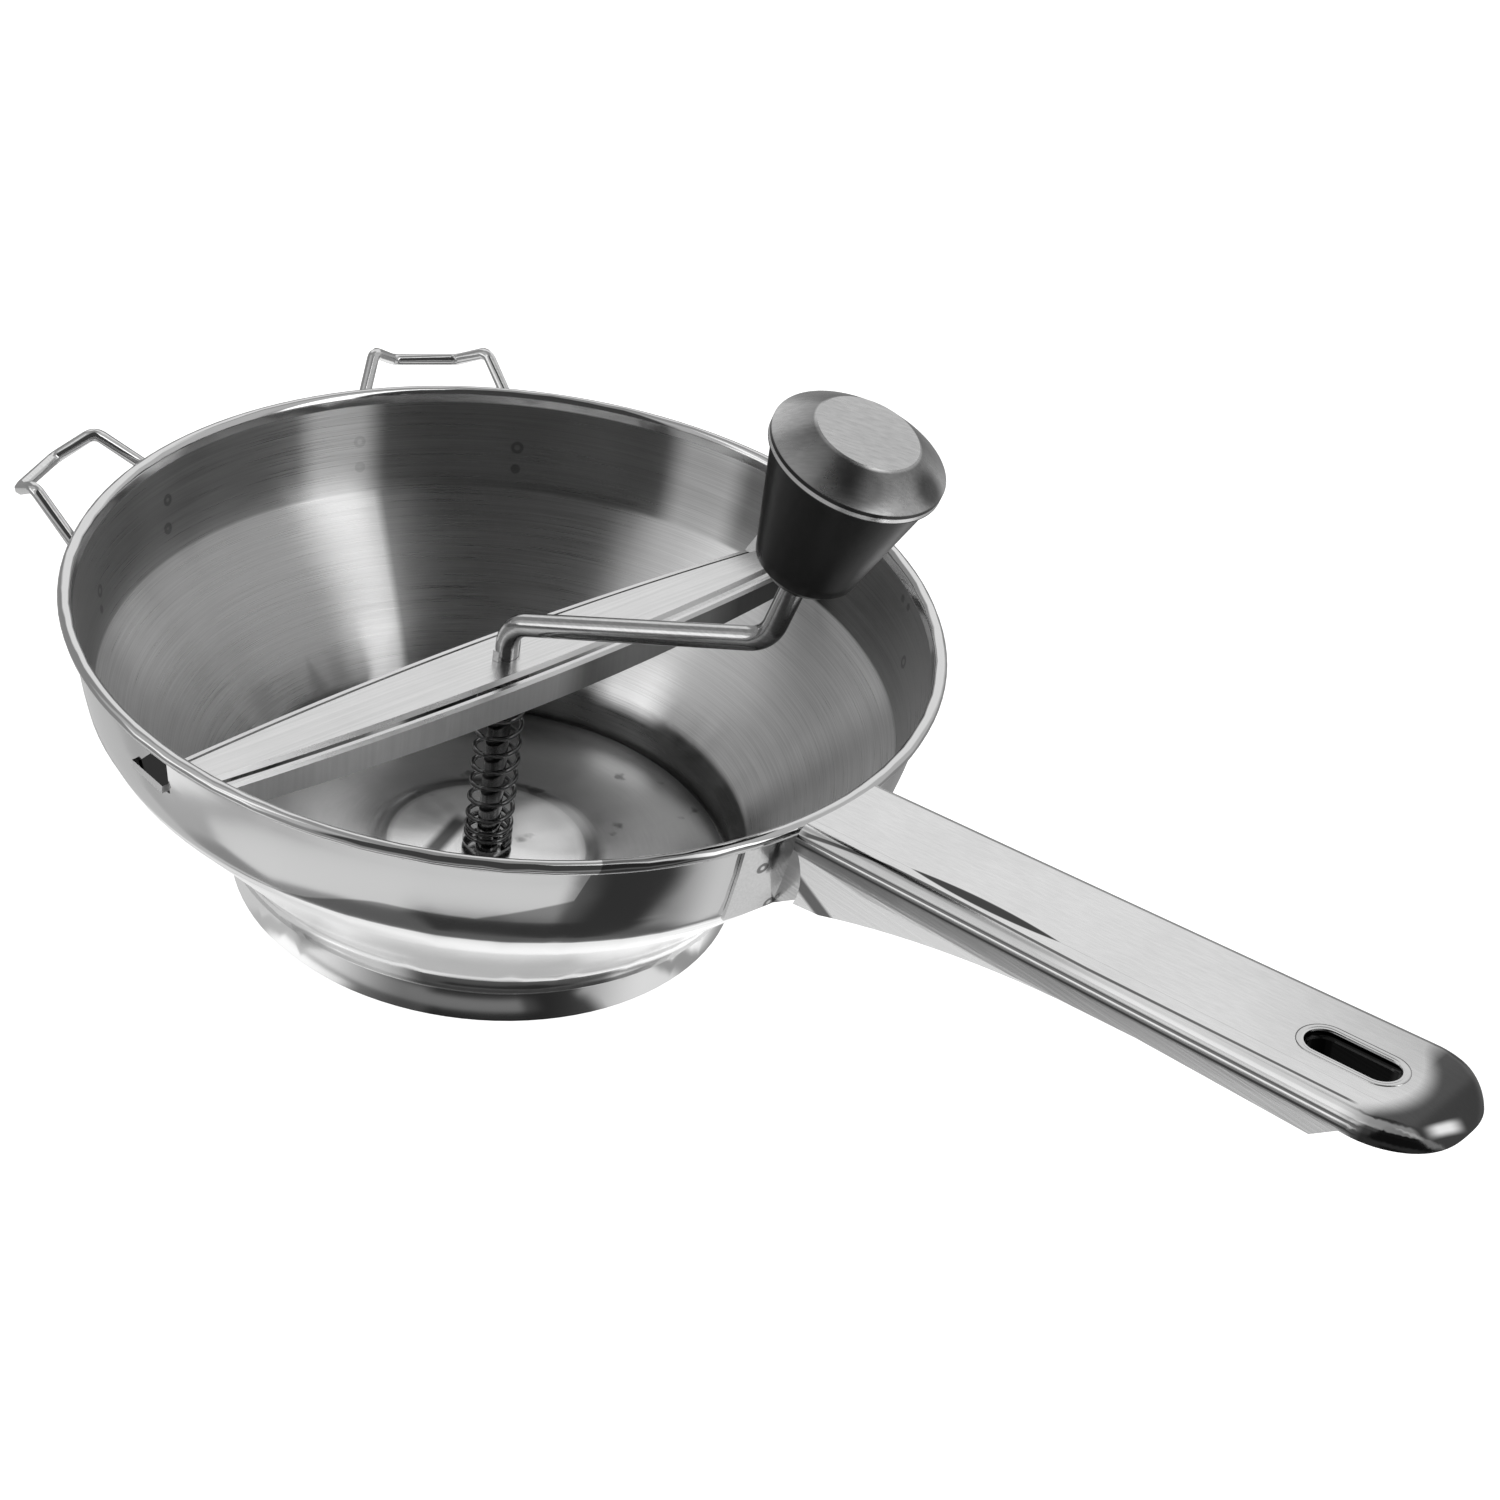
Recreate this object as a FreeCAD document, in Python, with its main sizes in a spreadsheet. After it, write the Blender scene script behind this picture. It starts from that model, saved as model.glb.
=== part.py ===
import FreeCAD, Part
import math
import os
import re

import Sketcher
from FreeCAD import Placement, Rotation, Vector

# A hand cranked food mill for mashing potatoes: a flared steel bowl with a channel handle,
# a perforated disc in its base, and a spring loaded blade turned by a cranked rod that is
# carried by a removable bar. Millimetres, +Z up, origin on the crank's axis at the base.

SIZES = {
    # Bowl, pressed from one sheet
    "bowl_sheet": 0.8,
    "rim_radius": 110.0,
    "rim_top": 82.2,
    "bead_radius": 1.7,
    "bead_end_angle": 235.0,
    "bead_side_angle": 43.6,
    "crease_radius": 103.0,
    "crease_height": 54.1,
    "crease_flat": 3.0,
    "band_bow": 0.45,
    "cone_foot_radius": 69.2,
    "cone_foot_height": 15.8,
    "cone_foot_flat": 3.0,
    "wall_foot_height": 11.2,
    "ring_radius": 66.6,
    "ring_height": 8.8,
    "floor_radius": 60.0,
    "slope_lift": 0.3,
    "step_lift": 0.4,
    # Slot in the band that takes the bar's tongue
    "slot_bottom": 67.6,
    "slot_top": 77.6,
    "slot_left": 8.2,
    "slot_right": 6.0,
    "slot_top_right": 3.7,
    # Perforated disc
    "disc_radius": 65.2,
    "disc_sheet": 0.8,
    "hole_radius": 4.2,
    "hole_pitch": 13.2,
    # Blade
    "blade_radius": 64.3,
    "blade_sheet": 1.0,
    "blade_bottom": 1.9,
    "blade_lift": 12.0,
    "ramp_root_radius": 36.0,
    "ramp_angle": 120.0,
    "ramp_margin": 2.0,
    "ramp_power": 1.4,
    "boss_radius": 26.5,
    "boss_foot_radius": 32.0,
    "boss_rise": 1.1,
    # Rod, its collars and the spring
    "rod_radius": 3.0,
    "rod_bottom": 0.5,
    "rod_fit": 0.08,
    "collar_radius": 5.6,
    "collar_height": 1.2,
    "rivet_radius": 8.0,
    "rivet_height": 0.9,
    "seat_radius": 6.6,
    "seat_sheet": 0.8,
    "spring_radius": 5.8,
    "wire_diameter": 1.0,
    "closed_pitch": 2.4,
    "open_turns": 9.0,
    "closed_turns": 2.0,
    # Crank
    "elbow_height": 73.4,
    "elbow_round": 9.0,
    "wrist_height": 104.6,
    "wrist_round": 11.0,
    "rod_end_depth": 7.0,
    "ear_width": 9.0,
    "ear_sheet": 1.8,
    "ear_height": 3.0,
    # Knob, placed by the widest circle of its cap
    "knob_reach": 89.0,
    "knob_height": 160.3,
    "knob_tilt": 14.85,
    "knob_length": 36.2,
    "knob_foot_radius": 12.2,
    "knob_top_radius": 19.7,
    "knob_foot_round": 3.6,
    "knob_pocket_radius": 8.0,
    "knob_pocket_depth": 9.0,
    "retainer_radius": 6.6,
    "retainer_height": 1.2,
    "retainer_lift": 0.2,
    "cap_radius": 20.6,
    "cap_flat_radius": 12.1,
    "cap_height": 6.3,
    "cap_edge": 0.6,
    "cap_rib": 0.3,
    "cap_lip": 1.7,
    "cap_sheet": 0.8,
    # Bar
    "bar_top": 63.0,
    "bar_half_length": 101.0,
    "bar_bow_radius": 1080.0,
    "bar_end_half_width": 6.9,
    "bar_sheet": 1.0,
    "bar_fold": 0.8,
    "flange_depth": 8.7,
    "flange_end_depth": 6.2,
    "flange_bow_radius": 2085.0,
    "panel_inset": 2.4,
    "panel_rise": 1.2,
    "panel_slope": 1.1,
    "panel_end": 97.0,
    "tongue_reach": 107.0,
    "tongue_bottom": 68.0,
    "tongue_sheet": 2.0,
    "tongue_left": 7.2,
    "tongue_right": 5.0,
    "joggle_start": 92.0,
    "joggle_step": 1.0,
    # Handle
    "handle_root": 110.5,
    "handle_tip": 272.4,
    "handle_end_round": 18.27,
    "handle_taper": 1.12,
    "handle_root_top": 82.4,
    "handle_slope": 7.3,
    "handle_sheet": 1.0,
    "handle_shoulder": 4.2,
    "shoulder_share": 0.6,
    "tip_start": 258.5,
    "tip_round": 16.5,
    "hang_middle": 243.6,
    "hang_length": 22.0,
    "hang_width": 8.6,
    "hang_lip": 1.0,
    "hang_lip_depth": 7.0,
    "wall_root_height": 76.4,
    "fold_reach": 130.0,
    "fold_height": 76.2,
    "fold_end_reach": 172.2,
    "fold_end_height": 81.6,
    "bend_end_reach": 190.0,
    "bend_end_height": 84.3,
    "wall_end_reach": 205.0,
    "wall_end_height": 86.7,
    "notch_reach": 247.0,
    "notch_height": 91.0,
    "notch_end_reach": 252.5,
    "notch_end_height": 96.0,
    "tip_edge_height": 98.2,
    "gusset_tilt": 8.2,
    "gusset_length": 79.9,
    "gusset_depth": 16.3,
    "gusset_toe_reach": 6.2,
    "gusset_toe_depth": 15.3,
    "gusset_edge_radius": 296.0,
    "gusset_mouth_radius": 22.3,
    "gusset_root": 0.3,
    "gusset_foot": -1.8,
    # Bracket of the handle
    "bracket_sheet": 1.0,
    "bracket_half_angle": 14.4,
    "bracket_bottom": 55.6,
    "bracket_top": 78.2,
    "ear_gap_half": 11.0,
    "bracket_reach": 127.0,
    "bracket_web": 6.0,
    "ear_neck": 8.0,
    # Wire hooks
    "hook_wire": 3.3,
    "hook_spread": 22.0,
    "hook_foot_height": 55.0,
    "hook_bend_height": 74.0,
    "hook_corner_reach": 122.4,
    "hook_corner_half": 16.1,
    "hook_corner_height": 85.4,
    "hook_bar_reach": 130.2,
    "hook_bar_half": 9.1,
    "hook_bar_height": 79.0,
    "hook_bend_round": 5.0,
    "hook_corner_round": 3.4,
    "weld_gap": 0.2,
    # Directions seen from above
    "bar_direction": 86.0,
    "crank_direction": 7.5,
    "blade_direction": -103.0,
    "left_hook_direction": 206.0,
    "right_hook_direction": 147.5,
    # Reach of the shapes that only cut or bound another one
    "cut_margin": 1.0,
    "side_cut": 5.0,
    "cut_bottom": 45.0,
    "cut_top": 120.0,
    "slot_cut": 40.0,
    "bore_cut": 12.0,
    # Clearance between pieces that touch but don't move as one
    "seat_gap": 0.05,
}

doc = FreeCAD.newDocument("food_mill")
sheet = doc.addObject("Spreadsheet::Sheet", "Sizes")
for row, (alias, amount) in enumerate(SIZES.items(), start=1):
    sheet.set(f"A{row}", alias)
    sheet.set(f"B{row}", str(amount))
    sheet.setAlias(f"B{row}", alias)
doc.recompute()

pieces = []


def size(expression):
    """The number that an expression of sheet aliases comes to."""
    return float(sheet.evalExpression(expression))


def bound(expression):
    """The same expression as other objects of the document write it."""
    return re.sub(r"\b[a-z]+(?:_[a-z]+)+\b", lambda name: "Sizes." + name.group(0), expression)


def bind(thing, **sizes):
    for name, expression in sizes.items():
        thing.setExpression(name, bound(expression))


def new_body(name, placement=None):
    body = doc.addObject("PartDesign::Body", name)
    body.Label = name
    if placement:
        body.Placement = placement
    return body


def turned(angle, offset=None):
    """A placement turned about the vertical axis by a sheet angle."""
    return Placement(offset or Vector(), Rotation(Vector(0, 0, 1), size(angle)))


def new_sketch(body, name, role="XY_Plane", lift="0"):
    sketch = body.newObject("Sketcher::SketchObject", name)
    plane = [p for p in body.Origin.OriginFeatures if p.Role == role][0]
    sketch.AttachmentSupport = [(plane, "")]
    sketch.MapMode = "FlatFace"
    sketch.setExpression("AttachmentOffset.Base.z", bound(lift))
    return sketch


def bowed(start, end, radius, side, major):
    """The arc between two points: side +1 bulges to the left of the way from start to end."""
    chord = end - start
    half = chord.Length / 2
    drop = math.sqrt(radius * radius - half * half)
    rise = radius + drop if major else radius - drop
    left = Vector(-chord.y, chord.x, 0).normalize()
    middle = (start + end) / 2 + left * rise * side
    if side > 0:
        return Part.Arc(end, middle, start), 2, 1
    return Part.Arc(start, middle, end), 1, 2


def put(sketch, kind, *values):
    """Adds a constraint whose last value is an expression."""
    number = sketch.addConstraint(Sketcher.Constraint(kind, *values[:-1], size(values[-1])))
    sketch.setExpression(f"Constraints[{number}]", bound(values[-1]))


def outline(sketch, corners, bows=None):
    """A closed outline through corners (x, y), with bows {side: (radius, side, major)} as arcs."""
    bows = bows or {}
    points = [Vector(size(x), size(y), 0) for x, y in corners]
    ends = []
    for side, start in enumerate(points):
        end = points[(side + 1) % len(points)]
        if side in bows:
            radius, way, major = bows[side]
            arc, first, last = bowed(start, end, size(radius), way, major)
            number = sketch.addGeometry(arc)
            ends.append((number, first, last))
            put(sketch, "Radius", number, radius)
        else:
            ends.append((sketch.addGeometry(Part.LineSegment(start, end)), 1, 2))
    for side, (x, y) in enumerate(corners):
        number, first, _ = ends[side]
        before, _, last = ends[side - 1]
        sketch.addConstraint(Sketcher.Constraint("Coincident", before, last, number, first))
        put(sketch, "DistanceX", number, first, x)
        put(sketch, "DistanceY", number, first, y)


def circle(sketch, radius, x="0", y="0"):
    number = sketch.addGeometry(Part.Circle(Vector(size(x), size(y), 0), Vector(0, 0, 1), size(radius)))
    put(sketch, "Radius", number, radius)
    put(sketch, "DistanceX", number, 3, x)
    put(sketch, "DistanceY", number, 3, y)


def bent_line(sketch, corners, rounds):
    """An open path through corners, rounded at each inner one."""
    points = [Vector(size(x), size(y), 0) for x, y in corners]
    lines = []
    start = points[0]
    arcs = []
    for corner in range(1, len(points) - 1):
        into = (points[corner] - points[corner - 1]).normalize()
        out = (points[corner + 1] - points[corner]).normalize()
        turn = into.getAngle(out)
        radius = size(rounds[corner - 1])
        reach = radius * math.tan(turn / 2)
        near = points[corner] - into * reach
        far = points[corner] + out * reach
        bisector = (out - into).normalize()
        middle = points[corner] + bisector * (radius / math.cos(turn / 2) - radius)
        anticlockwise = into.x * out.y - into.y * out.x > 0
        ends = (near, far) if anticlockwise else (far, near)
        lines.append(sketch.addGeometry(Part.LineSegment(start, near)))
        arcs.append((sketch.addGeometry(Part.Arc(ends[0], middle, ends[1])), anticlockwise))
        start = far
    lines.append(sketch.addGeometry(Part.LineSegment(start, points[-1])))
    for place, (arc, anticlockwise) in enumerate(arcs):
        first, last = (1, 2) if anticlockwise else (2, 1)
        sketch.addConstraint(Sketcher.Constraint("Tangent", lines[place], 2, arc, first))
        sketch.addConstraint(Sketcher.Constraint("Tangent", arc, last, lines[place + 1], 1))
        put(sketch, "Radius", arc, rounds[place])
        corner = sketch.addGeometry(Part.Point(points[place + 1]), True)
        put(sketch, "DistanceX", corner, 1, corners[place + 1][0])
        put(sketch, "DistanceY", corner, 1, corners[place + 1][1])
        sketch.addConstraint(Sketcher.Constraint("PointOnObject", corner, 1, lines[place]))
        sketch.addConstraint(Sketcher.Constraint("PointOnObject", corner, 1, lines[place + 1]))
    for line, end, place in ((lines[0], 1, 0), (lines[-1], 2, -1)):
        put(sketch, "DistanceX", line, end, corners[place][0])
        put(sketch, "DistanceY", line, end, corners[place][1])


def revolve(body, sketch, name, angle=None):
    turn = body.newObject("PartDesign::Revolution", name)
    turn.Profile = sketch
    turn.ReferenceAxis = (sketch, ["V_Axis"])
    turn.Angle = 360
    if angle:
        turn.Midplane = True
        bind(turn, Angle=angle)
    return turn


def pad(body, sketch, name, length, midplane=False):
    feature = body.newObject("PartDesign::Pad", name)
    feature.Profile = sketch
    feature.Midplane = midplane
    bind(feature, Length=length)
    return feature


def pocket(body, sketch, name, length=None, midplane=False, upward=False):
    """Cuts a sketch out of the body, through all of it where no length is given."""
    feature = body.newObject("PartDesign::Pocket", name)
    feature.Profile = sketch
    feature.Midplane = midplane
    feature.Reversed = upward
    if length:
        bind(feature, Length=length)
    else:
        feature.Type = "ThroughAll"
    before = body.Shape.Volume
    doc.recompute()
    if not feature.Shape.Volume < before:
        raise ValueError(f"{name} cuts nothing")
    return feature


def edges_where(shape, wanted):
    """The names of the edges that a test picks out."""
    return [f"Edge{number}" for number, edge in enumerate(shape.Edges, start=1) if wanted(edge)]


def fillet(body, base, name, wanted, radius):
    doc.recompute()
    names = edges_where(base.Shape, wanted)
    if not names:
        raise ValueError(f"{name} finds no edge")
    feature = body.newObject("PartDesign::Fillet", name)
    feature.Base = (base, names)
    bind(feature, Radius=radius)
    doc.recompute()
    return feature


def soften(body, base, name, tests, amount):
    """A flat in place of each edge that one of the tests picks out."""
    doc.recompute()
    feature = body.newObject("PartDesign::Chamfer", name)
    feature.Base = (base, edges_where(base.Shape, lambda edge: any(test(edge) for test in tests)))
    bind(feature, Size=amount)
    doc.recompute()
    return feature


def ring_at(radius, height, slack=0.2):
    """A test for the circular edge about the axis with this radius and height."""

    def wanted(edge):
        curve = edge.Curve
        if not isinstance(curve, Part.Circle):
            return False
        level = abs(curve.Center.z - size(height)) < slack
        return level and abs(curve.Radius - size(radius)) < slack

    return wanted


def polar(body, feature, name, count):
    pattern = body.newObject("PartDesign::PolarPattern", name)
    pattern.Originals = [feature]
    pattern.Axis = (feature.Profile[0], ["N_Axis"])
    pattern.Angle = 360
    pattern.Occurrences = count
    body.Tip = pattern
    return pattern


def washer(name, outer, inner, bottom, height):
    """A flat ring about the crank's axis."""
    rim = doc.addObject("Part::Cylinder", name + "_disc")
    bore = doc.addObject("Part::Cylinder", name + "_bore")
    bind(rim, Radius=outer, Height=height)
    bind(bore, Radius=inner, Height=height)
    for cylinder in (rim, bore):
        cylinder.setExpression("Placement.Base.z", bound(bottom))
    ring = doc.addObject("Part::Cut", name)
    ring.Base = rim
    ring.Tool = bore
    ring.Label = name
    pieces.append(ring)
    return ring


def set_shape(name, shape, placement):
    feature = doc.addObject("Part::Feature", name)
    feature.Label = name
    feature.Shape = shape
    feature.Placement = placement
    pieces.append(feature)
    return feature


# Lines that several pieces share, written once as expressions

BAND_LEAN = "(rim_radius - bead_radius + bead_radius * cos(bead_end_angle) - crease_radius)"
BAND_RISE = "(rim_top - bead_radius + bead_radius * sin(bead_end_angle) - crease_height)"


BAND_LEVELS = [f"(crease_height + {BAND_RISE} * {share} / 3)" for share in (1, 2)]


def band_radius(height):
    """The band's outer radius at a height, a little bowed between its crease and the bead."""
    share = f"(({height} - crease_height) / {BAND_RISE})"
    return f"(crease_radius + {BAND_LEAN} * {share} + 4 * band_bow * {share} * (1 - {share}))"


PANEL_TOP = "(bar_top + panel_rise)"
BOSS_TOP = "(blade_bottom + boss_rise + blade_sheet)"
SEAT_BOTTOM = f"({BOSS_TOP} + collar_height + seat_gap)"
SPRING_BOTTOM = f"({SEAT_BOTTOM} + seat_sheet)"
SPRING_TOP = f"({PANEL_TOP} - bar_sheet)"
WRIST_REACH = "(knob_reach - (knob_height - wrist_height) * tan(knob_tilt))"


def make_bowl():
    """Rolled bead, leaning band, cone, short wall and base ring, all one sheet, with a slot at
    each end of the bar."""
    body = new_body("bowl", turned("bar_direction"))
    sketch = new_sketch(body, "bowl_profile", "XZ_Plane")
    bead = []
    for side in range(8):
        angle = f"(180 - bead_side_angle * {side})"
        bead.append(
            (
                f"rim_radius - bead_radius + bead_radius * cos({angle})",
                f"rim_top - bead_radius + bead_radius * sin({angle})",
            )
        )
    outline(
        sketch,
        bead
        + [(band_radius(level), level) for level in BAND_LEVELS[::-1]]
        + [
            ("crease_radius", "crease_height"),
            ("cone_foot_radius", "cone_foot_height"),
            ("cone_foot_radius", "wall_foot_height"),
            ("ring_radius", "ring_height"),
            ("ring_radius", "0"),
            ("floor_radius", "0"),
            ("floor_radius", "bowl_sheet"),
            ("ring_radius - bowl_sheet", "bowl_sheet"),
            ("ring_radius - bowl_sheet", "ring_height + step_lift"),
            ("cone_foot_radius - bowl_sheet", "wall_foot_height + step_lift"),
            ("cone_foot_radius - bowl_sheet", "cone_foot_height + slope_lift"),
            ("crease_radius - bowl_sheet", "crease_height + slope_lift"),
        ]
        + [(band_radius(level) + " - bowl_sheet", level) for level in BAND_LEVELS],
    )
    shell = revolve(body, sketch, "bowl_shell")
    creases = [
        ring_at("crease_radius", "crease_height"),
        ring_at("crease_radius - bowl_sheet", "crease_height + slope_lift"),
    ]
    crease = soften(body, shell, "bowl_crease", creases, "crease_flat")
    feet = [ring_at("cone_foot_radius", "cone_foot_height")]
    soften(body, crease, "cone_foot", feet, "cone_foot_flat")
    slot = new_sketch(body, "slot_outline", "YZ_Plane")
    outline(
        slot,
        [
            ("-slot_left", "slot_bottom"),
            ("slot_right", "slot_bottom"),
            ("-slot_top_right", "slot_top"),
            ("-slot_left", "slot_top"),
        ],
    )
    cut = pocket(body, slot, "tongue_slot")
    pair = body.newObject("PartDesign::PolarPattern", "tongue_slots")
    pair.Originals = [cut]
    pair.Axis = (sketch, ["V_Axis"])
    pair.Angle = 360
    pair.Occurrences = 2
    body.Tip = pair
    pieces.append(body)


def make_sieve_disc():
    """A flat disc with a bore for the rod's end and rings of holes."""
    body = new_body("sieve_disc")
    sketch = new_sketch(body, "disc_outline", lift="bowl_sheet")
    circle(sketch, "disc_radius")
    circle(sketch, "rod_radius + rod_fit")
    pad(body, sketch, "disc_plate", "disc_sheet")
    doc.recompute()
    for ring in range(1, 5):
        hole = new_sketch(body, f"hole_{ring}", lift="bowl_sheet")
        corners = []
        for corner in range(6):
            angle = 60 * corner
            corners.append(
                (
                    f"hole_pitch * {ring} + hole_radius * cos({angle})",
                    f"hole_radius * sin({angle})",
                )
            )
        outline(hole, corners)
        cut = pocket(body, hole, f"cut_{ring}", upward=True)
        polar(body, cut, f"ring_{ring}", 6 * ring)
        doc.recompute()
    pieces.append(body)


def make_blade():
    """A round plate with a raised boss, slit on one radius, and rising as a ramp to the slit."""
    body = new_body("blade_plate")
    sketch = new_sketch(body, "blade_profile", "XZ_Plane")
    outline(
        sketch,
        [
            ("rod_radius", "blade_bottom + boss_rise"),
            ("boss_radius", "blade_bottom + boss_rise"),
            ("boss_foot_radius", "blade_bottom"),
            ("blade_radius", "blade_bottom"),
            ("blade_radius", "blade_bottom + blade_sheet"),
            ("boss_foot_radius", "blade_bottom + blade_sheet"),
            ("boss_radius", "blade_bottom + blade_sheet + boss_rise"),
            ("rod_radius", "blade_bottom + blade_sheet + boss_rise"),
        ],
    )
    revolve(body, sketch, "blade_disc")
    doc.recompute()
    sector = new_sketch(body, "ramp_sector")
    outline(
        sector,
        [
            ("ramp_root_radius", "0"),
            ("blade_radius + ramp_margin", "0"),
            (
                "(blade_radius + ramp_margin) * cos(ramp_angle)",
                "(blade_radius + ramp_margin) * sin(ramp_angle)",
            ),
            ("ramp_root_radius * cos(ramp_angle)", "ramp_root_radius * sin(ramp_angle)"),
        ],
        {
            1: ("blade_radius + ramp_margin", -1, False),
            3: ("ramp_root_radius", 1, False),
        },
    )
    pocket(body, sector, "ramp_opening", upward=True)
    steps = 6
    sections = []
    for step in range(steps + 1):
        share = step / steps
        section = doc.addObject("Sketcher::SketchObject", f"ramp_section_{step}")
        turn = Rotation(Vector(0, 0, 1), size("ramp_angle") * share)
        upright = Rotation(Vector(1, 0, 0), 90)
        section.Placement = Placement(Vector(), turn * upright)
        rise = f"blade_lift * {1 - share:.4f} ^ ramp_power"
        outline(
            section,
            [
                ("ramp_root_radius", "blade_bottom"),
                ("blade_radius", f"blade_bottom + {rise}"),
                ("blade_radius", f"blade_bottom + blade_sheet + {rise}"),
                ("ramp_root_radius", "blade_bottom + blade_sheet"),
            ],
        )
        sections.append(section)
    ramp = doc.addObject("Part::Loft", "blade_ramp")
    ramp.Sections = sections
    ramp.Solid = True
    ramp.Ruled = True
    doc.recompute()
    blade = doc.addObject("Part::MultiFuse", "blade")
    blade.Shapes = [body, ramp]
    blade.Placement = turned("blade_direction")
    blade.Label = "blade"
    pieces.append(blade)


def make_rod_collars():
    """What sits on the rod between the disc and the bar."""
    washer("blade_collar", "collar_radius", "rod_radius", BOSS_TOP, "collar_height")
    washer("lower_spring_seat", "seat_radius", "rod_radius + rod_fit", SEAT_BOTTOM, "seat_sheet")


def biarc(start, start_way, end, end_way):
    """Two arcs that join two points, tangent to the way of travel at both."""
    chord = end - start
    both = start_way + end_way
    spread = 2 * (1 - start_way.dot(end_way))
    along = chord.dot(both)
    reach = (math.sqrt(along * along + spread * chord.dot(chord)) - along) / spread
    joint = (start + end + (start_way - end_way) * reach) / 2
    return [tangent_arc(start, start_way, joint), tangent_arc(end, end_way * -1, joint, True)]


def tangent_arc(start, way, end, backwards=False):
    chord = end - start
    turn = way.getAngle(chord)
    aside = (way - chord * (way.dot(chord) / chord.dot(chord))).normalize()
    middle = (start + end) / 2 + aside * (chord.Length / 2 * math.tan(turn / 2))
    if backwards:
        return Part.Arc(end, middle, start)
    return Part.Arc(start, middle, end)


def make_spring():
    """A compression spring with its end turns drawn together, in quarter turn steps."""
    radius = size("spring_radius")
    wire = size("wire_diameter")
    closed = size("closed_pitch")
    closed_turns = size("closed_turns")
    open_turns = size("open_turns")
    low = size(SPRING_BOTTOM) + wire / 2
    high = size(SPRING_TOP) - wire / 2
    blend = 0.5
    turns = 2 * closed_turns + open_turns
    open_pitch = (high - low - closed * (turns - open_turns + blend)) / (open_turns - blend)

    def pitch(turn):
        share = min(1.0, max(0.0, (min(turn, turns - turn) - closed_turns) / blend))
        return closed + (open_pitch - closed) * share

    count = round(2 * turns)
    heights = [0.0]
    for step in range(count):
        middle = (step + 0.5) / 2
        heights.append(heights[-1] + pitch(middle) / 2)
    stretch = (high - low) / heights[-1]
    places = []
    for step, height in enumerate(heights):
        angle = math.pi * step
        place = Vector(radius * math.cos(angle), radius * math.sin(angle), low + height * stretch)
        rise = pitch(step / 2) * stretch / (2 * math.pi * radius)
        places.append((place, Vector(-math.sin(angle), math.cos(angle), rise).normalize()))
    arcs = []
    for (start, start_way), (end, end_way) in zip(places, places[1:]):
        arcs += biarc(start, start_way, end, end_way)
    path = Part.Wire([arc.toShape() for arc in arcs])
    start, way = places[0]
    section = ring_of_sides(start, start + way, wire / 2, 4)
    spring = path.makePipeShell([section], True, False)
    samples = [arc.value(arc.FirstParameter + (arc.LastParameter - arc.FirstParameter) * k / 8)
               for arc in arcs for k in range(8)]
    near = min(
        (samples[a] - samples[b]).Length
        for a in range(len(samples))
        for b in range(a + 20, len(samples))
    )
    print(f"spring: {turns} turns, pitch {open_pitch:.2f}, least gap {near - wire:.2f}")
    set_shape("spring", spring, Placement())


def make_crank():
    """A bent rod with two pinched ears that stop it on the bar."""
    body = new_body("crank", turned("crank_direction"))
    section = new_sketch(body, "rod_section", lift="rod_bottom")
    circle(section, "rod_radius")
    spine = new_sketch(body, "rod_path", "XZ_Plane")
    bent_line(
        spine,
        [
            ("0", "rod_bottom"),
            ("0", "elbow_height"),
            (WRIST_REACH, "wrist_height"),
            (
                "knob_reach - rod_end_depth * sin(knob_tilt)",
                "knob_height - rod_end_depth * cos(knob_tilt)",
            ),
        ],
        ["elbow_round", "wrist_round"],
    )
    rod = body.newObject("PartDesign::AdditivePipe", "bent_rod")
    rod.Profile = section
    rod.Spine = (spine, [])
    doc.recompute()
    ears = new_sketch(body, "ear_outline", lift=f"{PANEL_TOP} + seat_gap")
    outline(
        ears,
        [
            ("-ear_sheet / 2", "-ear_width / 2"),
            ("ear_sheet / 2", "-ear_width / 2"),
            ("ear_sheet / 2", "ear_width / 2"),
            ("-ear_sheet / 2", "ear_width / 2"),
        ],
    )
    pad(body, ears, "stop_ears", "ear_height")
    rivet = new_sketch(body, "rivet_outline", lift="blade_bottom + boss_rise - rivet_height")
    circle(rivet, "rivet_radius")
    pad(body, rivet, "rivet_head", "rivet_height")
    pieces.append(body)


def knob_placement():
    """The knob's own axis, from the widest circle of its cap."""
    tilt = Rotation(Vector(0, 1, 0), size("knob_tilt"))
    turn = Rotation(Vector(0, 0, 1), size("crank_direction"))
    middle = turn.multVec(Vector(size("knob_reach"), 0, size("knob_height")))
    return Placement(middle, turn * tilt)


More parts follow.
